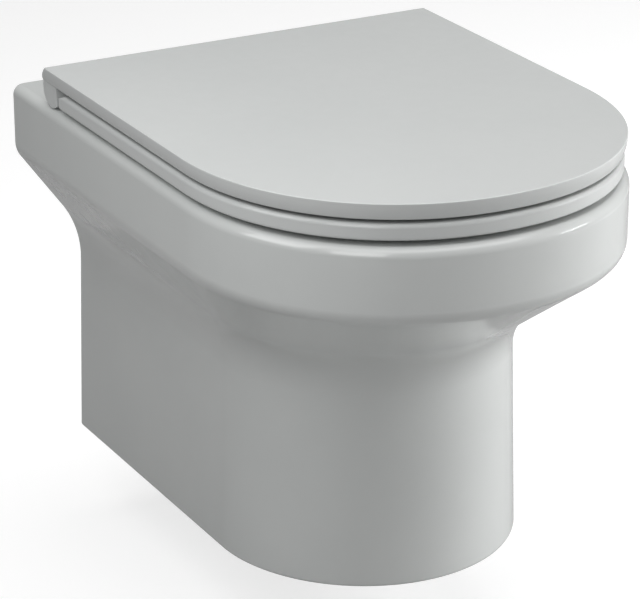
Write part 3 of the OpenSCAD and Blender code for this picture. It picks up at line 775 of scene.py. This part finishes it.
    def bowl_ring(self, k: float, grow: float) -> Ring:
        """The bowl below its ledge, at share k of the way down."""
        e = ease(k)
        cut = self.undercut - self.ledge
        return oval_ring(
            mix(self.mouth_half + cut, self.sump_half, e) + grow,
            mix(self.mouth_middle, self.sump_middle, e),
            mix(self.mouth_ahead + cut, self.sump_ahead, e) + grow,
            mix(self.mouth_behind + cut, self.sump_behind, e) + grow,
            mix(self.ledge_z, self.sump_z, k),
        )

    def sump_ring(self, k: float, grow: float) -> Ring:
        """The sump's rounded foot, at share k of its quarter turn."""
        a = self.sump_turn * k
        s = math.cos(a)
        drop = (self.sump_z - self.sump_floor + grow) * math.sin(a) / math.sin(self.sump_turn)
        return oval_ring(
            (self.sump_half + grow) * s,
            self.sump_middle,
            (self.sump_ahead + grow) * s,
            (self.sump_behind + grow) * s,
            self.sump_z - drop,
        )

    def mouth_ring(self, z: float, out: float) -> Ring:
        """The bowl's mouth at height z, widened by out."""
        return oval_ring(
            self.mouth_half + out, self.mouth_middle, self.mouth_ahead + out, self.mouth_behind + out, z
        )

    def bowl_inside(self) -> Form:
        """The bowl's inner space, with its flush ledge and rounded mouth."""
        rings = [self.sump_ring(i / 14, 0) for i in range(14, 0, -1)]
        rings += [self.bowl_ring(i / 40, 0) for i in range(40, 0, -1)]
        cut, nose, cove, edge = self.undercut, self.nose_r, self.cove_r, self.mouth_edge
        # The ledge's rounded nose, its flat, the hollow corner behind it and the wall under the rim
        for rise, fall in arc(4):
            rings.append(self.mouth_ring(self.ledge_z - nose * (1 - rise), cut - self.ledge + nose * fall))
        for rise, fall in arc(8, 1):
            rings.append(self.mouth_ring(self.ledge_z + cove * fall, cut - cove * (1 - rise)))
        rings.append(self.mouth_ring(self.ledge_z + self.wall_foot, cut))
        for i in range(9):
            z = mix(self.ledge_z + self.wall_rise, self.deck - edge, i / 8)
            rings.append(self.mouth_ring(z, cut * (1 - ease(i / 8))))
        rings += [self.mouth_ring(self.deck - edge + edge * rise, edge * fall) for rise, fall in arc(10, 1)]
        rings.append(self.mouth_ring(self.deck + 2 * MM, self.mouth_edge))
        return loft(rings)

    def bowl_outside(self) -> Form:
        """The bowl's outer wall, inside the shell."""
        rings = [self.sump_ring(i / 6, self.bowl_wall) for i in range(6, 0, -1)]
        rings += [self.bowl_ring(i / 16, self.bowl_wall) for i in range(16, 0, -1)]
        out = self.undercut + self.bowl_wall
        rings.append(
            self.mouth_ring(self.ledge_z - self.bowl_wall, self.undercut - self.ledge + self.bowl_wall)
        )
        rings += [self.mouth_ring(z, out) for z in (self.ledge_z, self.deck - self.deck_t / 2)]
        return loft(rings)

    def trapway(self, grow: float, end_r: float, steps: int = 16) -> Form:
        """The passage from the sump over the weir to the spigot.

        Args:
            grow: wall added to its radius.
            end_r: radius where it ends.
            steps: rings in each stretch.

        Returns:
            The passage as a solid.
        """
        run = self.sump_middle - self.weir_y
        rise = self.weir_z - self.dip_z - 2 * self.bend_r
        gap = math.hypot(run, rise) / 2
        turn = math.atan2(rise, run) + math.asin(self.bend_r / gap)
        weir_r = (self.trap_r + self.outlet_r) / 2 + grow
        first = self.trap_r + grow
        sides = 64

        def ring(y: float, z: float, lean: float, r: float) -> Ring:
            """A ring square to a path that climbs at angle lean."""
            made = []
            for i in range(sides):
                t = math.tau * i / sides
                up = r * math.sin(t)
                made.append(Vector((-r * math.cos(t), y - up * math.sin(lean), z + up * math.cos(lean))))
            return made

        rings = []
        for i in range(steps + 1):
            k = i / steps
            a = turn * k
            y, z = -self.sump_middle + self.bend_r * math.sin(a), self.dip_z + self.bend_r * (1 - math.cos(a))
            rings.append(ring(y, z, a, mix(first, weir_r, k / 2)))
        for i in range(steps + 1):
            k = i / steps
            a = turn * (1 - k)
            y, z = -self.weir_y - self.bend_r * math.sin(a), self.weir_z - self.bend_r * (1 - math.cos(a))
            rings.append(ring(y, z, a, mix(first, weir_r, (1 + k) / 2)))
        for i in range(1, steps + 1):
            k = i / steps
            y = mix(-self.weir_y, -self.spigot_root, k)
            rings.append(ring(y, mix(self.weir_z, self.outlet_z, ease(k)), 0.0, mix(weir_r, end_r, k)))
        return loft(rings)

    def spigot(self) -> Form:
        """The outlet's straight end, with a rounded lip."""
        lip, length = 2.5 * MM, self.spigot_root + 5 * MM - self.spigot_end
        outline = [(0, 0)]
        for a in (0.0, 0.4, 0.8, 1.2, math.pi / 2):
            outline.append((self.spigot_r - lip + lip * math.sin(a), lip - lip * math.cos(a)))
        outline += [(self.spigot_r, length), (0, length)]
        return turned(outline, along_y(self.spigot_end, 0, self.outlet_z), 96)

    def flush_housing(self) -> list[Form]:
        """The walls round the flush way."""
        rear = self.mouth_middle - self.mouth_behind
        side = self.slot_half + self.boss
        return [
            rod(
                self.inlet_r + self.boss,
                self.inlet_l + self.boss - self.inside,
                along_y(self.inside, 0, self.inlet_z),
            ),
            rod(
                self.duct_r + self.boss,
                rear + self.bowl_wall - MM - self.inlet_l,
                along_y(self.inlet_l, 0, self.inlet_z),
            ),
            block(
                (-side, -rear, self.slot_z - self.boss),
                (side, -self.duct_end + 3 * self.bowl_wall, self.deck - self.inside),
            ),
        ]

    def flush_way(self) -> list[Form]:
        """The inlet socket, its duct and the slot in the bowl."""
        ease_r = 2 * MM
        mouth = [(0, -2 * MM), (self.inlet_r + ease_r, -2 * MM)]
        mouth += [
            (self.inlet_r + ease_r * (1 - math.sin(a)), ease_r * (1 - math.cos(a)))
            for a in (0.15, 0.5, 1.0, math.pi / 2)
        ]
        mouth += [(self.inlet_r, self.inlet_l), (0, self.inlet_l)]
        rear = self.mouth_middle - self.mouth_behind
        return [
            turned(mouth, along_y(0, 0, self.inlet_z), 96),
            rod(self.duct_r, self.duct_end - self.inlet_l + MM, along_y(self.inlet_l - MM, 0, self.inlet_z)),
            block(
                (-self.slot_half, -rear - self.bowl_wall / 2, self.slot_z),
                (self.slot_half, -self.duct_end + 2 * self.bowl_wall, self.slot_z + self.slot_h),
                3 * MM,
            ),
        ]

    def towers(self) -> list[Form]:
        """The solid bosses round the wall fixings and the seat holes."""
        made = []
        near, far = self.hole_x - self.hole_r - self.boss, self.stud_x + self.hole_r + self.boss
        thick = self.hole_r + self.boss
        for side in SIDES:
            place = along_y(self.inside, side * self.stud_x)
            made.append(rod(self.bore_r + self.boss, self.bore_l + self.boss - self.inside, place))
            left, right = sorted((side * near, side * far))
            high = self.deck - self.inside
            made.append(block((left, -self.hole_y - thick, 0), (right, -self.hole_y + thick, high)))
        return made

    def bores(self) -> list[Form]:
        """The wall fixing bores, the seat holes and the slanted key holes."""
        made = []
        ease_r = 1.2 * MM
        lean = math.atan((self.stud_x - self.hole_x) / self.deck)
        for side in SIDES:
            outline = [(0, -ease_r), (self.bore_r + 2 * ease_r, -ease_r), (self.bore_r, ease_r)]
            outline += [(self.bore_r, self.bore_l), (0, self.bore_l)]
            made.append(turned(outline, along_y(0, side * self.stud_x)))
            hole = [(0, -self.hole_l), (self.hole_r, -self.hole_l), (self.hole_r, -ease_r)]
            hole += [(self.hole_r + 2 * ease_r, ease_r), (0, ease_r)]
            made.append(turned(hole, Matrix.Translation((side * self.hole_x, -self.hole_y, self.deck))))
            foot = Matrix.Translation((side * self.stud_x, -self.hole_y, 0))
            place = foot @ Matrix.Rotation(-side * lean, 4, "Y")
            made.append(rod(self.key_r, self.deck - self.hole_l / 2, place))
        return made

    def build(self) -> Piece:
        """Cast the whole pan.

        Returns:
            The pan, as one piece.
        """
        solid = Solid("pan_casting", self.outside())
        solid.apply(Join.CUT, [self.hollow(), self.window()])
        trap = self.trapway(self.trap_wall, self.spigot_r + 1.5 * MM)
        solid.apply(Join.ADD, [self.bowl_outside(), trap, self.spigot()])
        solid.apply(Join.ADD, self.flush_housing() + self.towers())
        solid.apply(Join.CUT, [self.bowl_inside(), self.trapway(0, self.outlet_r - MM)])
        eased, end, root = 2 * MM, self.spigot_end, self.spigot_root + MM
        outline = [(0, end - eased), (self.outlet_r + 2 * eased, end - eased), (self.outlet_r, end + eased)]
        outline += [(self.outlet_r, root), (0, root)]
        outlet = turned(outline, along_y(0, 0, self.outlet_z), 96)
        solid.apply(Join.CUT, [outlet] + self.flush_way() + self.bores())
        return solid.finish()


# Hinge line


@dataclass
class HingeLine:
    """Sizes that the seat, the lid and the hinge blocks share."""

    y: float = -74.5 * MM
    z: float = RIM.deck + 17 * MM
    block_x: float = 77.5 * MM
    block_half: float = 17.5 * MM
    gap: float = 0.5 * MM
    knuckle_r: float = 11 * MM
    pin_r: float = 4 * MM
    pin_reach: float = 15 * MM
    damper_r: float = 8 * MM
    damper_l: float = 40 * MM
    fit: float = 0.05 * MM


# Seat


@dataclass
class Seat:
    """The slim seat ring with its knuckle between the hinge blocks."""

    low: float = RIM.deck + 4.4 * MM
    high: float = RIM.deck + 17.4 * MM
    half: float = RIM.half - 2 * MM
    straight: float = RIM.straight - 5 * MM
    front: float = RIM.front - 6 * MM
    back: float = 91 * MM
    edge: float = 3.5 * MM
    foot_share: float = 0.7
    corner: float = 2 * MM
    bevel: float = 12 * MM
    open_half: float = 116 * MM
    open_middle: float = 315 * MM
    open_ahead: float = 122 * MM
    open_behind: float = 138 * MM
    dish: float = 14 * MM
    dish_share: float = 0.62
    hinge: HingeLine = field(default_factory=HingeLine)

    def outside(self) -> Form:
        """The ring's outer form, with its back bevelled at the top."""
        foot, edge, corner = self.edge * self.foot_share, self.edge, self.corner
        rings = []
        for rise, fall in reversed(arc(4)):
            inset, z = foot * fall, self.low + foot * (1 - rise)
            back = self.back + inset
            rings.append(d_ring(self.half - inset, self.straight, self.front - inset, z, back, corner))
        rings.append(d_ring(self.half, self.straight, self.front, self.low + 5 * MM, self.back, corner))
        for i, (rise, fall) in enumerate(arc(8)):
            inset, z = edge * fall, self.high - edge * (1 - rise)
            back = self.back + self.bevel * i / 8
            rings.append(d_ring(self.half - inset, self.straight, self.front - inset, z, back, corner))
        return loft(rings)

    def opening(self) -> Form:
        """The ring's opening, dished towards its top."""
        depth = (self.high - self.low) * self.dish_share
        start = self.high - depth

        def outline(out: float, z: float) -> Ring:
            """The opening at one height, widened by out."""
            return oval_ring(
                self.open_half + out, self.open_middle, self.open_ahead + out, self.open_behind + out, z
            )

        rings = [outline(0, self.low - MM), outline(0, start)]
        rings += [outline(self.dish * fall, start + depth * rise) for rise, fall in arc(12, 1)]
        rings.append(outline(self.dish, self.high + MM))
        return loft(rings)

    def build(self) -> Piece:
        """Mould the seat.

        Returns:
            The seat ring, as one piece.
        """
        h = self.hinge
        half = h.block_x - h.block_half - h.gap
        solid = Solid("seat_moulding", self.outside())
        solid.apply(Join.CUT, [self.opening()])
        solid.apply(
            Join.ADD,
            [
                rod(h.knuckle_r, 2 * half, along_x(-half, h.y, h.z), 0.6 * MM, 96),
                block(
                    (-half, -self.back - self.bevel - MM, h.z - h.knuckle_r + 0.5 * MM),
                    (half, h.y, self.high),
                    0.6 * MM,
                ),
            ],
        )
        solid.apply(
            Join.CUT,
            [
                rod(h.pin_r + h.fit, h.pin_reach + 2 * MM, along_x(half - h.pin_reach - MM, h.y, h.z)),
                rod(h.damper_r + h.fit, h.damper_l + 2 * MM, along_x(-half - MM, h.y, h.z)),
            ],
        )
        return solid.finish()


# Lid


@dataclass
class Lid:
    """The lid, whose rear ends turn down round the hinge axis, flush with its edge."""

    low: float = RIM.deck + 20.5 * MM
    high: float = RIM.deck + 34 * MM
    under: float = RIM.deck + 29 * MM
    half: float = RIM.half
    straight: float = RIM.straight - 5 * MM
    front: float = RIM.front - 4 * MM
    back: float = 68 * MM
    edge_r: float = 32 * MM
    top_r: float = 0.8 * MM
    foot_r: float = 1.2 * MM
    cove_r: float = 3 * MM
    skirt: float = 4 * MM
    sweep_r: float = 16 * MM
    end_front: float = 10 * MM
    end_in: float = 0.3 * MM
    end_fillet: float = 3 * MM
    end_edge: float = 0.6 * MM
    pad_r: float = 8 * MM
    pad_turn: float = math.radians(50)
    pad_share: float = 0.97
    pad_top: float = RIM.deck + 20.4 * MM
    hinge: HingeLine = field(default_factory=HingeLine)

    def drawn_in(self, z: float) -> float:
        """How far the lid's edge has drawn in at height z."""
        return self.edge_r - math.sqrt(self.edge_r**2 - (self.high - z) ** 2)

    def ring(self, z: float, inset: float, back: float, corner: float = 1.5 * MM) -> Ring:
        """The lid's outline at height z, drawn in by inset."""
        return d_ring(self.half - inset, self.straight, self.front - inset, z, back, corner, 144)

    def outside(self) -> Form:
        """The lid's outer form."""
        rings, foot, top = [], self.foot_r, self.top_r
        for rise, fall in reversed(arc(4, 1)):
            z = self.low + foot * (1 - rise)
            rings.append(self.ring(z, self.drawn_in(z) + foot * fall, self.back))
        for i in range(13):
            z = mix(self.low + foot, self.high - top, i / 12)
            rings.append(self.ring(z, self.drawn_in(z), self.back))
        for rise, fall in arc(5, 1):
            rings.append(self.ring(self.high - top * (1 - rise), top * fall, self.back + top * fall))
        return loft(rings)

    def recess(self) -> Form:
        """The space under the lid's top, open at the back."""
        inset = self.drawn_in(self.low) + self.skirt
        cove, back = self.cove_r, self.back - MM
        rings = [self.ring(z, inset, back) for z in (self.low - MM, self.under - cove)]
        for rise, fall in arc(6, 1):
            rings.append(self.ring(self.under - cove * (1 - rise), inset + cove * fall, back))
        return loft(rings)

    def pads(self) -> list[tuple[float, float]]:
        """Where the buffers under the lid stand, on its right half."""
        low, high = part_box("lid_buffers")
        side, rear = high[0] - self.pad_r, high[1] - self.pad_r
        front = low[1] + self.pad_r
        land = side + RIM.half - Seat.half
        return [(side, rear), (land * math.cos(self.pad_turn) * self.pad_share, front)]

    def end_profile(self) -> list[tuple[float, float]]:
        """A turned-down end seen from the side, as y and z.

        Its back sweeps round the hinge axis, and its front is upright and runs into the lid's
        foot.
        """
        h, cover, steps = self.hinge, MM, 48
        top = self.high - self.top_r
        front = h.y - self.end_front
        rise, behind = top - h.z, -h.y - self.back
        first = math.pi - math.atan2(rise, behind) + math.acos(self.sweep_r / math.hypot(rise, behind))
        last = math.tau - math.acos(self.end_front / self.sweep_r)
        outline = [(-self.back - cover, self.under + cover), (-self.back - cover, top), (-self.back, top)]
        for i in range(steps + 1):
            a = mix(first, last, i / steps)
            outline.append((h.y - self.sweep_r * math.cos(a), h.z + self.sweep_r * math.sin(a)))
        for rise, fall in arc(8):
            outline.append((front - self.end_fillet * fall, self.low - self.end_fillet * (1 - rise)))
        outline.append((front - self.end_fillet, self.under + cover))
        return outline

    def end_face(self, side: int, inner: float) -> list[tuple[float, float]]:
        """A turned-down end seen from the front, as x and z: its outer face follows the lid's edge."""
        outer, foot, top = self.half - self.end_in, self.hinge.z - self.sweep_r - MM, self.high - self.top_r
        outline = [(side * inner, foot), (side * (outer - self.drawn_in(self.low)), foot)]
        for i in range(13):
            z = mix(self.low, top, i / 12)
            outline.append((side * (outer - self.drawn_in(z)), z))
        outline.append((side * inner, top))
        return outline

    def end(self, side: int, inner: float) -> Form:
        """One of the lid's turned-down ends.

        Args:
            side: -1 for the left end and 1 for the right one.
            inner: distance from the middle to its inner face.

        Returns:
            The end as a solid.
        """
        profile, face = self.end_profile(), self.end_face(side, inner - MM)
        rear, front = self.hinge.y + self.sweep_r + MM, self.hinge.y - self.sweep_r - self.end_fillet - MM
        length = loft([Vector((side * x, y, z)) for y, z in profile] for x in (inner, self.half))
        body = Solid("lid_end", length)
        body.apply(Join.KEEP, [loft([Vector((x, y, z)) for x, z in face] for y in (rear, front))])
        bm = body.take()
        near = self.half - 5 * MM
        crisp = [e for e in bm.edges if e.calc_face_angle(0.0) > 1.0]
        rim = [e for e in crisp if min(abs(v.co.x) for v in e.verts) > near]
        bmesh.ops.bevel(
            bm, geom=rim, offset=self.end_edge, affect="EDGES", segments=3, profile=0.5, material=-1
        )
        return bm

    def build(self) -> Piece:
        """Mould the lid.

        Returns:
            The lid, as one piece.
        """
        h = self.hinge
        inner = h.block_x + h.block_half + h.gap
        solid = Solid("lid_moulding", self.outside())
        solid.apply(Join.CUT, [self.recess()])
        for side in SIDES:
            solid.apply(Join.ADD, [self.end(side, inner)])
            for px, py in self.pads():
                place = Matrix.Translation((side * px, py, self.pad_top))
                solid.apply(Join.ADD, [rod(self.pad_r + MM, self.under - self.pad_top + MM, place)])
        solid.apply(
            Join.CUT,
            [
                rod(h.damper_r + h.fit, h.damper_l + 2 * MM, along_x(inner - MM, h.y, h.z)),
                rod(h.pin_r + h.fit, h.pin_reach + 2 * MM, along_x(-inner - h.pin_reach - MM, h.y, h.z)),
            ],
        )
        return solid.finish()


# Studio


@dataclass(frozen=True)
class SoftBox:
    """A soft area lamp: its place, width and height, its power in watts, and whether it is mirrored."""

    name: str
    place: Triple
    size: tuple[float, float]
    power: float
    mirrored: bool = True


@dataclass
class Studio:
    """Floor, world, lights and the camera."""

    focal_px: float = 3018.04
    width_px: float = 640.0
    yaw_deg: float = -28.60
    pitch_deg: float = 21.97
    centre: Triple = (0.0, -0.230, -0.074)
    centre_px: tuple[float, float] = (331.65, 306.68)
    middle_px: tuple[float, float] = (320.0, 299.5)
    distance: float = 2.48278
    floor_z: float = -0.320
    floor_tone: float = 0.45
    floor_lift: float = 0.68
    ambient: float = 0.09
    mirror_white: float = 0.0
    aim: Triple = (0.0, -0.25, -0.05)
    boxes: tuple[SoftBox, ...] = (
        SoftBox("top_box", (0.0, -0.3, 1.9), (2.4, 2.4), 31),
        SoftBox("right_box", (2.2, -0.9, 0.55), (1.8, 1.8), 63, False),
        SoftBox("left_box", (-0.75, -0.3, 0.6), (0.5, 0.5), 2.2),
        SoftBox("glint_box", (1.62, -1.26, 0.53), (0.6, 0.2), 3),
        SoftBox("near_box", (-0.6, -0.9, 0.5), (0.4, 0.5), 1.8),
    )

    def camera(self) -> None:
        """Set the camera where the photograph was taken from."""
        yaw, pitch = math.radians(self.yaw_deg), math.radians(self.pitch_deg)
        back = Vector((math.sin(yaw) * math.cos(pitch), -math.cos(yaw) * math.cos(pitch), math.sin(pitch)))
        right = Vector((math.cos(yaw), math.sin(yaw), 0))
        up = back.cross(right)
        dx = (self.centre_px[0] - self.middle_px[0]) / self.focal_px * self.distance
        dy = (self.centre_px[1] - self.middle_px[1]) / self.focal_px * self.distance
        place = Vector(self.centre) + back * self.distance - right * dx + up * dy
        data = bpy.data.cameras.new("camera")
        data.sensor_width = 36.0
        data.lens = self.focal_px / self.width_px * data.sensor_width
        data.clip_end = 50.0
        camera = bpy.data.objects.new("camera", data)
        turn = Matrix((right, up, back)).transposed().to_4x4()
        camera.matrix_world = Matrix.Translation(place) @ turn
        bpy.context.scene.collection.objects.link(camera)
        bpy.context.scene.camera = camera

    def seen_white(self, tree: bpy.types.NodeTree) -> Socket:
        """How white the surroundings look: wholly to the camera, and by mirror_white's share in reflections.

        The share is 0 here, so reflections don't show the white.

        Args:
            tree: the node tree that asks.

        Returns:
            The share of white as a socket.
        """
        path = tree.nodes.new("ShaderNodeLightPath")
        total = path.outputs["Is Camera Ray"]
        for name, share in (("Is Transmission Ray", 1.0), ("Is Glossy Ray", self.mirror_white)):
            part = tree.nodes.new("ShaderNodeMath")
            part.operation = "MULTIPLY_ADD"
            part.inputs[1].default_value = share
            tree.links.new(path.outputs[name], part.inputs[0])
            tree.links.new(total, part.inputs[2])
            total = part.outputs[0]
        return total

    def floor(self) -> None:
        """Lay the pale floor, which looks white and keeps the shadow."""
        bm = bmesh.new()
        bmesh.ops.create_grid(bm, x_segments=1, y_segments=1, size=20.0)
        bmesh.ops.translate(bm, vec=(0, 0, self.floor_z), verts=bm.verts)
        floor = Solid.hold(bm, "floor")
        n = Nodes("pale_floor")
        n.set(Roughness=0.9, Specular_IOR_Level=0.0)
        n.shader.inputs["Base Color"].default_value = (self.floor_tone, self.floor_tone, self.floor_tone, 1)
        n.shader.inputs["Emission Color"].default_value = (1, 1, 1, 1)
        lift = n.add("ShaderNodeMath", operation="MULTIPLY")
        lift.inputs[1].default_value = self.floor_lift
        n.link(self.seen_white(n.tree), lift.inputs[0])
        n.link(lift.outputs[0], n.shader.inputs["Emission Strength"])
        floor.data.materials.append(n.material)

    def world(self) -> None:
        """Light the scene evenly, with a white view behind the object."""
        world = bpy.data.worlds.new("studio")
        bpy.context.scene.world = world
        world.use_nodes = True
        tree = world.node_tree
        tree.nodes.clear()
        out = tree.nodes.new("ShaderNodeOutputWorld")
        choose = tree.nodes.new("ShaderNodeMixShader")
        tree.links.new(self.seen_white(tree), choose.inputs[0])
        for index, level in ((1, self.ambient), (2, 1.0)):
            light = tree.nodes.new("ShaderNodeBackground")
            light.inputs["Color"].default_value = (1, 1, 1, 1)
            light.inputs["Strength"].default_value = level
            tree.links.new(light.outputs[0], choose.inputs[index])
        tree.links.new(choose.outputs[0], out.inputs["Surface"])

    def lamp(self, box: SoftBox) -> None:
        """Hang a soft box that faces the object.

        Args:
            box: the soft box.
        """
        data = bpy.data.lights.new(box.name, "AREA")
        data.shape = "RECTANGLE"
        data.size, data.size_y = box.size
        data.energy = box.power
        lamp = bpy.data.objects.new(box.name, data)
        aim = Vector(self.aim) - Vector(box.place)
        lamp.rotation_euler = aim.to_track_quat("-Z", "Y").to_euler()
        lamp.location = box.place
        lamp.visible_glossy = box.mirrored
        bpy.context.scene.collection.objects.link(lamp)

    def build(self) -> None:
        """Set the whole studio."""
        self.camera()
        self.floor()
        self.world()
        for box in self.boxes:
            self.lamp(box)


# Assembly


@dataclass
class Toilet:
    """Places each new piece on its body, and dresses every piece."""

    palette: Palette = field(default_factory=Palette)
    kept: tuple[tuple[Slot, str], ...] = (
        (Slot.GREY_PLASTIC, "wall_sleeves seat_damper lid_damper release_button_left release_button_right"),
        (Slot.STEEL, "clamp_barrels clamp_screws hinge_bolts hinge_pins damper_spindles release_clips"),
        (Slot.RUBBER, "inlet_seal hinge_plugs seat_buffers lid_buffers"),
        (Slot.BRASS, "hinge_nuts"),
        (Slot.POLISHED, "hinge_bases hinge_block_left hinge_block_right"),
    )

    def add(self, piece: Piece, body: str, slot: Slot, *nodes: str) -> None:
        """Ride a new piece on a body in place of its nodes.

        Args:
            piece: the new piece.
            body: the body it rides on.
            slot: its finish.
            *nodes: the nodes it stands for.
        """
        self.palette.dress(piece, slot)
        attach(piece, body)
        if nodes:
            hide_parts(*nodes)
        LOG.info("%s rides on %s, %d faces", piece.name, body, len(piece.data.polygons))

    def build(self) -> None:
        """Build the pieces in order."""
        self.add(Pan().build(), "pan", Slot.CERAMIC, "pan_body")
        self.add(Seat().build(), "seat", Slot.PLASTIC, "seat_ring")
        self.add(Lid().build(), "lid", Slot.PLASTIC, "lid_cover")
        for slot, nodes in self.kept:
            for node in nodes.split():
                self.palette.dress(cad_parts[node], slot)
                LOG.info("%s keeps its solid", node)


def main() -> None:
    """Build the toilet and its studio."""
    bpy.context.scene.view_settings.view_transform = "Standard"
    Studio().build()
    Toilet().build()


if __name__ == "__main__":
    logging.basicConfig(level=logging.INFO, format="%(message)s")
    main()
